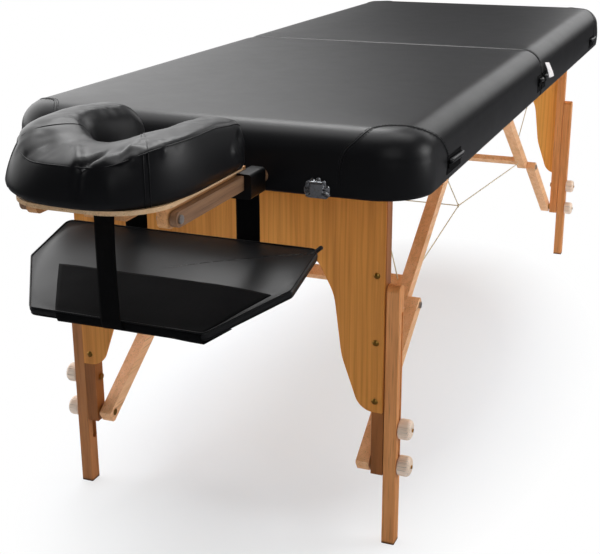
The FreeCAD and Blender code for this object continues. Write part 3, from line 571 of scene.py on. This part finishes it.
def cushion_ring(t):
    """One closed cross-section of the cushion, starting under its inner edge."""
    inner, outer, along, side = rim_points(t)
    seam_out = 0.053 + 0.019 * soft_step((side - 0.25) / 0.7)
    seam_in = 0.057 + 0.012 * soft_step(side)
    crown = 0.0115 - 0.0030 * soft_step(side)
    if t < 0.5:  # the left arm is fuller
        crown += 0.010 * soft_step(side)
    end = 0.044  # the stretch over which an arm's end rounds down
    close = min(end, max(0.0, end - (REAR - inner[0]))) / end if along > 0 else 0.0
    fall = 0.006 * soft_step((along - 0.1) / 0.6) + 0.040 * (1 - math.sqrt(1 - close ** 2))
    span = Vector((outer[0] - inner[0], outer[1] - inner[1], 0))
    out = span.normalized()
    # At the front left the wall hangs out over the plate, and the sole lifts off it.
    turn = math.pi * (0.5 + (t - ARM) / (1 - 2 * ARM))
    droop = math.exp(-((turn - 2.3) / 0.55) ** 2)
    lift = 0.012 * droop
    foot_in = Vector((*inner, SOLE))
    foot_out = Vector((*outer, SOLE))
    points = []
    for n in range(SOLE_STEPS):
        rise = lift * soft_step(n / 3.5 - 1)
        points.append(foot_in + span * (n / SOLE_STEPS) + Vector((0, 0, rise)))
    for n in range(WALL_STEPS):
        k = n / WALL_STEPS
        flare = 0.002 + OVERHANG * droop
        lean = flare * (1 - k) - TUCK * k + 0.0038 * math.sin(math.pi * k) ** 0.8
        base = -0.004 * (1 - soft_step(k * 6))
        rise = lift + (seam_out - fall - lift) * k
        points.append(foot_out + out * (lean + base) + Vector((0, 0, rise)))
    top_out = foot_out - out * TUCK + Vector((0, 0, seam_out - fall))
    top_in = foot_in + out * 0.001 + Vector((0, 0, seam_in - fall))
    for n in range(TOP_STEPS):
        k = n / TOP_STEPS
        dome = math.sin(math.pi * k) ** (0.72 - 0.34 * soft_step(side))
        roll = max(0.0, ROLL - span.length * (1 - k)) / ROLL
        sink = SINK * (1 - math.sqrt(1 - roll * roll))
        pull = 0.0009 * ripple((t * 3.2, k * 0.4, 0), 10.0, 3) * dome
        points.append(top_out.lerp(top_in, k) + Vector((0, 0, crown * dome + pull - sink)))
    top_in.z -= SINK
    for n in range(THROAT_STEPS):
        k = n / THROAT_STEPS
        puff = 0.0022 * math.sin(math.pi * k)
        points.append(top_in.lerp(foot_in, k) - out * puff)
    return points, top_out


def spot(ahead, y, up):
    """A place on the cushion, from its front, across, and up from its sole."""
    return FRONT + ahead, y, SOLE + up


# Creases as (start, end, height, width); a negative height is pressed in.
CREASES = [
    (spot(0.006, -0.026, 0.052), spot(0.045, -0.036, 0.071), -0.0090, 0.0048),
    (spot(0.010, -0.018, 0.058), spot(0.050, 0.010, 0.071), 0.0060, 0.0085),
    (spot(0.012, -0.041, 0.058), spot(0.050, -0.075, 0.072), 0.0040, 0.0080),
    (spot(0.018, 0.030, 0.060), spot(0.070, 0.060, 0.072), -0.0016, 0.0110),
    (spot(0.024, 0.060, 0.064), spot(0.070, 0.085, 0.075), 0.0016, 0.0100),
    (spot(0.050, -0.084, 0.070), spot(0.085, -0.066, 0.074), 0.0022, 0.0070),
    (spot(-0.001, -0.025, 0.050), spot(0.001, -0.023, 0.018), -0.0032, 0.0055),
    (spot(0.001, -0.060, 0.046), spot(0.004, -0.064, 0.010), 0.0022, 0.0100),
    (spot(0.255, -0.122, 0.050), spot(0.268, -0.120, 0.014), -0.0040, 0.0090),
    (spot(0.230, -0.121, 0.034), spot(0.246, -0.121, 0.010), 0.0026, 0.0080),
    (spot(0.280, -0.118, 0.060), spot(0.284, -0.116, 0.026), 0.0020, 0.0080),
]
# Small creases across the front's outer seam, as (degrees from straight ahead, height).
SEAM_CREASES = [(-52, 0.0010), (-41, -0.0010), (-31, 0.0012), (-21, -0.0012), (-12, 0.0014),
                (19, 0.0026), (25, -0.0022), (31, 0.0026), (38, -0.0018), (46, 0.0020),
                (56, -0.0012)]


def press_creases(data, creases):
    """Move points along their normals, by a smooth bump around each crease's line."""
    moves = []
    for vertex in data.vertices:
        total = 0.0
        for start, end, height, width in creases:
            a, way = Vector(start), Vector(end) - Vector(start)
            share = (vertex.co - a).dot(way) / way.length_squared
            if share < -0.3 or share > 1.3:
                continue
            near = a + way * min(1.0, max(0.0, share))
            gap = (vertex.co - near).length / width
            if gap < 3:
                ends = soft_step((share + 0.3) / 0.45) * soft_step((1.3 - share) / 0.45)
                total += height * math.exp(-gap * gap) * ends
        moves.append(vertex.normal * total)
    for vertex, move in zip(data.vertices, moves):
        vertex.co += move
    data.update()


def face_cushion():
    """The crescent cushion: a crowned top, upright walls, a piped seam and its creases."""
    count = 300
    points, outline = [], []
    for n in range(count + 1):  # rings crowd a little toward the ends of the arms
        eased = 0.5 - 0.5 * math.cos(math.pi * n / count)
        ring, top_out = cushion_ring(0.25 * eased + 0.75 * n / count)
        points += ring
        outline.append(top_out)
    data = mesh_of("face_cushion", points, tube_faces(count + 1, len(ring)))
    creases = list(CREASES)
    for turn, height in SEAM_CREASES:
        ahead, aside = math.cos(math.radians(turn)), -math.sin(math.radians(turn))
        creases.append((spot(REACH - 0.165 * ahead, 0.165 * aside, 0.060),
                        spot(REACH - 0.128 * ahead, 0.128 * aside, 0.074), height, 0.0052))
    press_creases(data, creases)
    cushion = link("face_cushion", data, "cushion_vinyl", "cradle_top")
    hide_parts("cradle_cushion")
    tube_along("cushion_outer_seam", outline[2:-2:3], 0.0010, "cushion_vinyl", "cradle_top")
    for name, t in (("right", 0.630), ("right_twin", 0.640), ("left", 0.370)):
        ring = cushion_ring(t)[0][SOLE_STEPS:-6:2]
        tube_along("cushion_cross_seam_" + name, ring, 0.0009, "cushion_vinyl", "cradle_top")


face_cushion()

# ---------------------------------------------------------------- the arm shelf

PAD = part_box("shelf_pad")
TILT = math.radians(14.5)
THICK = 0.016
BAND = THICK - 0.0038  # height of the vinyl band around the board
AHEAD = Vector((-math.cos(TILT), 0, -math.sin(TILT)))
ABOVE = Vector((-math.sin(TILT), 0, math.cos(TILT)))
HEEL = Vector((PAD[1][0], 0, PAD[1][2] - THICK * math.cos(TILT)))
SIDE, SHOULDER, LENGTH, NOSE = PAD[1][1], 0.108, 0.230, 0.135


def on_shelf(ahead, across, up):
    return HEEL + AHEAD * ahead + Vector((0, across, 0)) + ABOVE * up


def shelf_outline():
    """The six-sided board's edge, in (ahead, across), with rounded corners and close points."""
    corner, per_corner, per_side, pitch = 0.012, 7, 22, 0.006
    plan = [Vector(p) for p in ((0, -SIDE), (0, SIDE), (SHOULDER, SIDE), (LENGTH, NOSE),
                                (LENGTH, -NOSE), (SHOULDER, -SIDE))]
    line = []
    for n, p in enumerate(plan):
        ahead = plan[(n + 1) % len(plan)]
        back, on = (plan[n - 1] - p).normalized(), (ahead - p).normalized()
        cut = corner / math.tan(back.angle(on) / 2)
        a, b = p + back * cut, p + on * cut
        for k in range(per_corner + 1):
            t = k / per_corner
            line.append(a * (1 - t) ** 2 + p * (2 * t * (1 - t)) + b * t ** 2)
        line += [b.lerp(ahead - on * cut, k / per_side) for k in range(1, per_side)]
    close = []
    for a, b in zip(line, line[1:] + line[:1]):
        cuts = max(1, round((b - a).length / pitch))
        close += [a.lerp(b, n / cuts) for n in range(cuts)]
    return close


def shelf_inset(ahead, across):
    """Distance in from the nearest edge of the board, blended where two are about as near."""
    slope = Vector((SIDE - NOSE, LENGTH - SHOULDER)).normalized()
    gaps = [ahead, LENGTH - ahead]
    for gap in (SIDE - across, SIDE + across):
        gaps += [gap, slope.x * (SHOULDER - ahead) + slope.y * gap]
    nearest, soft = min(gaps), 0.02
    total = sum(math.exp((nearest - gap) / soft) for gap in gaps)
    return max(0.0, nearest - soft * math.log(total))


def shelf_top(ahead, across):
    """Height of the pad's upper skin over the board's underside."""
    inset = shelf_inset(ahead, across)
    swell = 0.0042 * (1 - math.exp(-inset / 0.016)) + 0.002 * soft_step(inset / 0.07)
    return BAND + swell + 0.0005 * ripple((ahead, across, 0), 16.0, 6)


def shelf_pad():
    """The padded board: a band of vinyl around it, a piped seam, and a soft top."""
    line = shelf_outline()
    middle = Vector((SHOULDER, 0))
    rings = []
    for up, grow in ((0.0, -0.008), (0.0, -0.002), (0.002, 0.0004), (0.006, 0.0016),
                     (0.009, 0.0014), (BAND, 0.0)):
        rings.append([on_shelf(*(p + (p - middle).normalized() * grow), up) for p in line])
    for share in (0.997, 0.99, 0.98, 0.965, 0.945, 0.92, 0.89, 0.85, 0.8, 0.74, 0.67, 0.6,
                  0.52, 0.44, 0.36, 0.28, 0.2, 0.12, 0.05):
        flat = [middle.lerp(p, share) for p in line]
        rings.append([on_shelf(q.x, q.y, shelf_top(q.x, q.y)) for q in flat])
    points = [p for ring in rings for p in ring]
    data = mesh_of("shelf_padding", points, tube_faces(len(rings), len(line)))
    pad = link("shelf_padding", data, "shelf_vinyl", "arm_shelf")
    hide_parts("shelf_pad")
    for name, up in (("shelf_upper_piping", THICK - 0.0034), ("shelf_lower_piping", 0.0012)):
        edge = [on_shelf(p.x, p.y, up) for p in line[::2]]
        tube_along(name, edge, 0.0013, "cushion_vinyl", "arm_shelf", closed=True)
    # The piping's loose end at the right rear corner.
    ear = [on_shelf(0.004 + d, 0.004 - SIDE - o, h) for d, o, h in (
        (0.012, -0.006, 0.009), (0.004, -0.001, 0.010), (-0.004, 0.004, 0.012),
        (-0.010, 0.006, 0.013), (-0.013, 0.005, 0.010))]
    tube_along("shelf_piping_end", ear, 0.0032, "cushion_vinyl", "arm_shelf",
               roundness=3)


def shelf_sleeve():
    """A cloth band laid over the front of the pad, turned over its edge and under it."""
    start, stop, bend, lift = 0.126, LENGTH + 0.0024, 0.006, 0.0007
    # Steps along the band: how far ahead, and how far below the skin once past the edge.
    path = [(start + (stop - bend - start) * n / 26, None) for n in range(27)]
    for n in range(1, 6):
        turn = math.pi / 2 * n / 5
        path.append((stop - bend + bend * math.sin(turn), bend * (1 - math.cos(turn))))
    path += [(stop, 0.009), (stop, 0.013), (stop - 0.003, 0.0186), (stop - 0.020, 0.0190),
             (stop - 0.044, 0.0190)]
    columns = 44
    points = []
    for ahead, down in path:
        narrower = 0.058 * min(1.0, (ahead - start) / (stop - start))
        left, right = 0.150 - narrower, -0.189 + narrower
        for c in range(columns + 1):
            across = left + (right - left) * c / columns
            if down is None:
                up = shelf_top(min(ahead, LENGTH - 0.001), across) + lift
            else:
                up = shelf_top(LENGTH - 0.007, across) + lift - down
            up += 0.0004 * ripple((ahead, across, 0), 45.0, 8)
            points.append(on_shelf(ahead, across, up))
    data = mesh_of("shelf_cloth", points, grid_faces(len(path), columns + 1), outward=False)
    sleeve = link("shelf_cloth", data, "black_webbing", "arm_shelf")
    thicken(sleeve, 0.0009, 1.0)
    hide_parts("shelf_sleeve")


def webbing(name, path, width):
    """A flat woven strap along a path of (centre, across) pairs."""
    thick, columns = 0.0016, 10
    rows = len(path)
    points = []
    for row, (place, across) in enumerate(path):
        ahead = (path[min(row + 1, rows - 1)][0] - path[max(row - 1, 0)][0]).normalized()
        out = ahead.cross(across).normalized()
        for side in (1, -1):
            for c in range(columns + 1):
                k = side * (c / columns * 2 - 1)
                cup = 0.0006 * (1 - k * k) * math.sin(row * 0.35)
                edge = thick / 2 * (1 - 0.35 * abs(k) ** 8)
                points.append(place + across * (width / 2 * k) + out * (cup + side * edge))
    data = mesh_of(name, points, tube_faces(rows, 2 * (columns + 1)))
    return link(name, data, "black_webbing")


def shelf_straps():
    """One strap down the middle to the shelf's nose, and one on each side at its rear."""
    width, under = 0.038, -0.0026
    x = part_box("shelf_straps")[0][0] + 0.0008
    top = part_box("cradle_plate")[0][2] - 0.001
    nose = on_shelf(LENGTH + 0.0035, 0, -0.001).z
    line = smooth_path([
        (x, 0, top), (x - 0.0006, 0.001, top - 0.05), (x, 0.0015, (top + nose) / 2),
        (x, 0.0005, nose + 0.03), (x + 0.0015, 0, nose + 0.009), on_shelf(LENGTH, 0, under),
        on_shelf(LENGTH - 0.014, 0, under), on_shelf(LENGTH - 0.050, 0, under)])
    rows = [(p, Vector((0.06 * math.sin(n * 0.11), 1, 0)).normalized())
            for n, p in enumerate(line)]
    front = webbing("shelf_front_strap", rows, width - 0.007)
    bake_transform(front)
    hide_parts("shelf_straps")
    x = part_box("cradle_clamps")[1][0] + 0.0075
    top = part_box("cradle_clamps")[0][2] + 0.002
    heel = on_shelf(-0.004, 0, 0).z
    for side, name in ((-1, "right"), (1, "left")):
        y = side * 0.095
        line = smooth_path([
            (x, y, top), (x + 0.0006, y, (top + heel) / 2 + 0.02), (x, y, heel + 0.012),
            on_shelf(-0.0065, y, 0.001), on_shelf(0.004, y, under), on_shelf(0.02, y, under),
            on_shelf(0.058, y, under)])
        rear = webbing("shelf_rear_strap_" + name, [(p, Vector((0, 1, 0))) for p in line], width)
        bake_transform(rear)


shelf_pad()
shelf_sleeve()
shelf_straps()

# ---------------------------------------------------------------- sewn corner patches

# The seam's knots, as distances in from the end and from the side, and up from the top.
CORNER_SEAM = [(0.0, 0.119, -0.086), (0.0, 0.119, -0.056), (0.0, 0.114, -0.033),
               (0.004, 0.100, -0.013), (0.016, 0.092, -0.004), (0.038, 0.082, 0.0),
               (0.057, 0.067, 0.0), (0.066, 0.048, 0.0), (0.074, 0.026, -0.004),
               (0.098, 0.011, -0.018), (0.130, 0.004, -0.040), (0.150, 0.0, -0.064),
               (0.153, 0.0, -0.088)]


def stitches(name, places, body):
    """Short raised threads laid along a run of (centre, direction, normal)."""
    points, faces = [], []
    for centre, ahead, up in places:
        side = ahead.cross(up)
        faces += tube_faces(4, 6, start=len(points))
        for along, half, lift in ((-0.0017, 0.0001, 0), (-0.0010, 0.00038, 0.0003),
                                  (0.0010, 0.00038, 0.0003), (0.0017, 0.0001, 0)):
            for turn in range(6):
                a = math.pi * turn / 3
                points.append(centre + ahead * along + side * (half * math.cos(a))
                              + up * (half * math.sin(a) + lift))
    link(name, mesh_of(name, points, faces, outward=False), "thread", body)


def corner_patch(half, side):
    """One corner's patch: a raised seam with a row of stitches on each side of it."""
    body = half + "_frame"
    knots = []
    for dx, dy, dz in CORNER_SEAM:
        x = END + dx if half == "head" else FAR_END - dx
        knots.append((x, side * (WIDE - dy), SKIN_TOP + dz))
    found = [COVERS[half].closest_point_on_mesh(p) for p in smooth_path(knots, 12)]
    snapped = [(place, normal) for _, place, normal, _ in found]
    label = f"{half}_patch_{'right' if side < 0 else 'left'}"
    tube_along(label + "_seam", [p + n * 0.0003 for p, n in snapped[::4]], 0.0009,
               "black_vinyl", body)
    rows, gone, pitch = [], 0.0, 0.0046
    for (a, normal), (b, _) in zip(snapped, snapped[1:]):
        gone += (b - a).length
        if gone >= pitch:
            gone -= pitch
            ahead = (b - a).normalized()
            across = ahead.cross(normal).normalized()
            for away in (-0.0034, 0.0034):
                rows.append((a + across * away + normal * 0.0002, ahead, normal))
    stitches(label + "_stitches", rows, body)


bpy.context.view_layer.update()
for half in ("head", "foot"):
    for side in (-1, 1):
        corner_patch(half, side)

# ---------------------------------------------------------------- lugs and label


def lug_rolls(half):
    """Soft rolls over the webbing lugs on both long sides; the outer one is the longer."""
    low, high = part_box(half + "_lugs")
    first, last = (0.084, 0.041) if half == "head" else (0.041, 0.084)
    spans = [(low[0], low[0] + first), (high[0] - last, high[0])]
    for n, (start, stop) in enumerate(spans):
        for side, word in ((-1, "right"), (1, "left")):
            y = side * (WIDE + 0.0050)
            z = high[2] - (0.018 if stop - start > 0.05 else 0.010)
            knots = [(start + 0.006, y, z), (start + 0.014, y + side * 0.002, z + 0.001),
                     (stop - 0.014, y + side * 0.002, z - 0.001), (stop - 0.006, y, z)]
            tube_along(f"{half}_lug_roll_{word}_{n + 1}", smooth_path(knots, 5), 0.0042,
                       "cushion_vinyl", half + "_frame", roundness=4)


def label_tab():
    """A small woven tab, sewn in near the fold and hanging clear of the side."""
    low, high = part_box("foot_label_tab")
    corners = [Vector((x, 0, high[2] + up)) for x, up in (
        (low[0] - 0.068, 0.034), (low[0] - 0.016, 0.026), (high[0] - 0.016, -0.010),
        (low[0] - 0.024, -0.005))]
    rows, columns = 12, 9
    points = []
    for r in range(rows + 1):
        v = r / rows
        for c in range(columns + 1):
            u = c / columns
            p = corners[0].lerp(corners[1], u).lerp(corners[3].lerp(corners[2], u), v)
            p.y = -WIDE - 0.0045 - 0.004 * math.sin(1.6 * v) - 0.0012 * math.sin(math.pi * u)
            points.append(p)
    data = mesh_of("label_tab", points, grid_faces(rows + 1, columns + 1), outward=False)
    tab = link("label_tab", data, "white_label", "foot_frame")
    thicken(tab, 0.0006)
    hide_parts("foot_label_tab")


for half in ("head", "foot"):
    lug_rolls(half)
label_tab()

# ---------------------------------------------------------------- the stay cables

FOLD_LINE = (FOLD + FOOT_PAD[0][0]) / 2
# Places on a cable, as distances out from the fold, across and up.
RING, EYE = (0, 0.183, 0.353), (-0.013, 0.063, 0.6118)
KNEE, TIE, HIGH = (0.5105, 0.215, 0.3375), (0.5195, 0.200, 0.3505), (0.790, 0.226, 0.6605)
CABLE_RADIUS, RING_RADIUS, RING_WIRE = 0.0012, 0.0034, 0.0010


def cable(name, start, end, body=None, bends=None):
    """One taut run that rides on a body; given bends, it is fixed in place and rides on none."""
    points = [start.lerp(end, n / 18) for n in range(19)]
    obj = tube_along(name, points, CABLE_RADIUS, "cable", body)
    if bends:
        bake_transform(obj)
    return obj


def stay_cables():
    """On each side a ring hangs below the fold, tied to both frames and both braces."""
    def place(spot, way, side):
        return Vector((FOLD_LINE + way * spot[0], side * spot[1], spot[2]))

    for side_name, side in (("right", -1), ("left", 1)):
        ring = place(RING, 1, side)
        hanger = cable("cable_hanger_" + side_name, ring, place(EYE, 1, side), "head_frame")
        if side < 0:
            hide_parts("cables")
        loop = [ring + Vector((RING_RADIUS * math.cos(a), 0, RING_RADIUS * math.sin(a)))
                for a in (2 * math.pi * n / 12 for n in range(12))]
        tube_along("cable_ring_" + side_name, loop, RING_WIRE, "cable", "head_frame",
                   closed=True)
        for half, way in (("head", -1), ("foot", 1)):
            frame_body, brace = half + "_frame", half + "_upper_brace"
            tail = f"{half}_{side_name}"
            knee, start = place(KNEE, way, side), ring
            if half == "foot":
                start = ring.lerp(knee, 0.5)
                cable("cable_fold_" + tail, ring, start, bends=("head_frame", frame_body))
            cable("cable_knee_" + tail, start, knee, bends=(frame_body, brace))
            cable("cable_frame_" + tail, place(HIGH, way, side), place(TIE, way, side),
                  bends=(frame_body, brace))
    cable("cable_across", place(RING, 1, -1), place(RING, 1, 1), "head_frame")


stay_cables()

# ---------------------------------------------------------------- latches


def latch_shell(name, across):
    """The latch's pressed chrome plate: a fan of flutes, cut off level below."""
    low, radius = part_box("latch_bases")[0][2] + 0.0005, 0.0205
    centre = low + 0.0115
    rings, spokes = 12, 97
    points = []
    for r in range(rings + 1):
        share = r / rings
        for n in range(spokes):
            turn = math.radians(-34 + 248 * n / (spokes - 1))
            flute = math.cos(turn * 11) * soft_step((share - 0.25) / 0.5)
            reach = radius * share * (1 + 0.035 * flute)
            relief = 0.0026 * (1 - share ** 3) + 0.0008 * flute * (1 - share ** 6)
            z = max(low, centre + math.sin(turn) * reach)
            points.append((END - 0.0018 - relief, across + math.cos(turn) * reach, z))
    data = mesh_of(name, points, grid_faces(rings + 1, spokes), outward=False)
    thicken(link(name, data, "crinkled_chrome", "head_frame"), 0.0007)


latch_shell("latch_shell_right", -0.196)
latch_shell("latch_shell_left", 0.196)

# ---------------------------------------------------------------- camera, floor and light


def place_camera():
    """The camera that was fitted to the top's outline in the photo."""
    yaw, pitch, roll = 0.3781, -0.3183, -0.0024
    forward = Vector((math.cos(pitch) * math.cos(yaw), math.cos(pitch) * math.sin(yaw),
                      math.sin(pitch)))
    right = forward.cross(Vector((0, 0, 1))).normalized()
    up = right.cross(forward)
    right, up = (right * math.cos(roll) + up * math.sin(roll),
                 up * math.cos(roll) - right * math.sin(roll))
    data = bpy.data.cameras.new("camera")
    camera = bpy.data.objects.new("camera", data)
    bpy.context.collection.objects.link(camera)
    axes = Matrix((right, up, -forward)).transposed().to_4x4()
    start = FOOT_PAD[0][0] - 0.001
    camera.matrix_world = Matrix.Translation((-2.4055 + start, -0.7642, 1.0446)) @ axes
    data.lens = 67.45
    data.sensor_width = 36
    data.shift_x = -0.0081
    data.shift_y = -0.0374
    data.clip_end = 60
    bpy.context.scene.camera = camera


def lay_floor():
    """A white floor that shows soft shadows under the table only, and reflects as grey."""
    bpy.ops.mesh.primitive_plane_add(size=40, location=(0, 0, 0))
    floor = bpy.context.object
    floor.name = "floor"
    s = Shader("floor_white")
    s.tint(s.ramp(s.noise(s.place, 2.0), (0.2, "#EBF1F8"), (0.8, "#EDF3FA")))
    s.set(Roughness=0.9, Specular_IOR_Level=0.0)
    white = s.add("ShaderNodeEmission")
    seen = s.add("ShaderNodeMixShader")
    away = s.add("ShaderNodeVectorMath", operation="LENGTH")
    s.join(s.scaled(0.8, 1.6, 1.0), away.inputs[0])
    share = s.add("ShaderNodeMath", operation="MULTIPLY")
    s.join(s.span(away.outputs["Value"], 0.5, 0.85, 0.3, 1.0), share.inputs[0])
    s.join(s.add("ShaderNodeLightPath").outputs["Is Camera Ray"], share.inputs[1])
    s.join(share.outputs[0], seen.inputs["Fac"])
    s.join(s.bsdf.outputs["BSDF"], seen.inputs[1])
    s.join(white.outputs["Emission"], seen.inputs[2])
    grey = s.add("ShaderNodeBsdfDiffuse", in_Color=colour("#6C6C6E"))
    whole = s.add("ShaderNodeMixShader")
    s.join(s.add("ShaderNodeLightPath").outputs["Is Glossy Ray"], whole.inputs["Fac"])
    s.join(seen.outputs["Shader"], whole.inputs[1])
    s.join(grey.outputs["BSDF"], whole.inputs[2])
    s.join(whole.outputs["Shader"], s.out.inputs["Surface"])
    floor.data.materials.append(s.material)


def make_world():
    """A soft room, brightest behind the table's left, with a white backdrop."""
    world = bpy.data.worlds.new("world")
    bpy.context.scene.world = world
    world.use_nodes = True
    nodes, join = world.node_tree.nodes, world.node_tree.links.new
    nodes.clear()
    output = nodes.new("ShaderNodeOutputWorld")
    toward = nodes.new("ShaderNodeVectorMath")
    toward.operation = "DOT_PRODUCT"
    toward.inputs[1].default_value = Vector((0.35, 0.9, 0.25)).normalized()
    join(nodes.new("ShaderNodeTexCoord").outputs["Generated"], toward.inputs[0])
    level = nodes.new("ShaderNodeMapRange")
    for key, number in (("From Min", 0.63), ("From Max", 0.93), ("To Min", 0.05),
                        ("To Max", 2.6)):
        level.inputs[key].default_value = number
    join(toward.outputs["Value"], level.inputs["Value"])
    room = nodes.new("ShaderNodeBackground")
    join(level.outputs["Result"], room.inputs["Strength"])
    backdrop = nodes.new("ShaderNodeBackground")
    choose = nodes.new("ShaderNodeMixShader")
    path = nodes.new("ShaderNodeLightPath")
    for node in (room, backdrop):
        node.inputs["Color"].default_value = (1, 1, 1, 1)
    join(path.outputs["Is Camera Ray"], choose.inputs["Fac"])
    join(room.outputs[0], choose.inputs[1])
    join(backdrop.outputs[0], choose.inputs[2])
    join(choose.outputs[0], output.inputs["Surface"])


def lamp(name, place, target, size, power):
    """A square lamp of a size in metres and a power in watts, aimed at a target."""
    data = bpy.data.lights.new(name, "AREA")
    data.shape = "RECTANGLE"
    data.size = data.size_y = size
    data.energy = power
    obj = bpy.data.objects.new(name, data)
    bpy.context.collection.objects.link(obj)
    obj.location = place
    aim = Vector(target) - Vector(place)
    obj.rotation_euler = aim.to_track_quat("-Z", "Y").to_euler()


place_camera()
bpy.context.scene.view_settings.view_transform = "Standard"
lay_floor()
make_world()
lamp("front", (-3.6, -2.6, 2.6), (0, 0, 0.4), 2.4, 28)
lamp("side", (1.0, -1.6, 4.6), (0.2, 0, 0.5), 2.4, 70)
lamp("top", (0.2, 0.6, 4.4), (0.1, 0, 0.4), 3.4, 100)
lamp("back", (1.6, 0.9, 3.2), (-0.9, 0, 0.55), 1.5, 52)
lamp("end", (5.5, -1.1, 2.7), (0, -0.3, 0.6), 3.0, 52)
lamp("right", (1.4, -3.8, 1.3), (0.4, 0, 0.3), 1.6, 60)
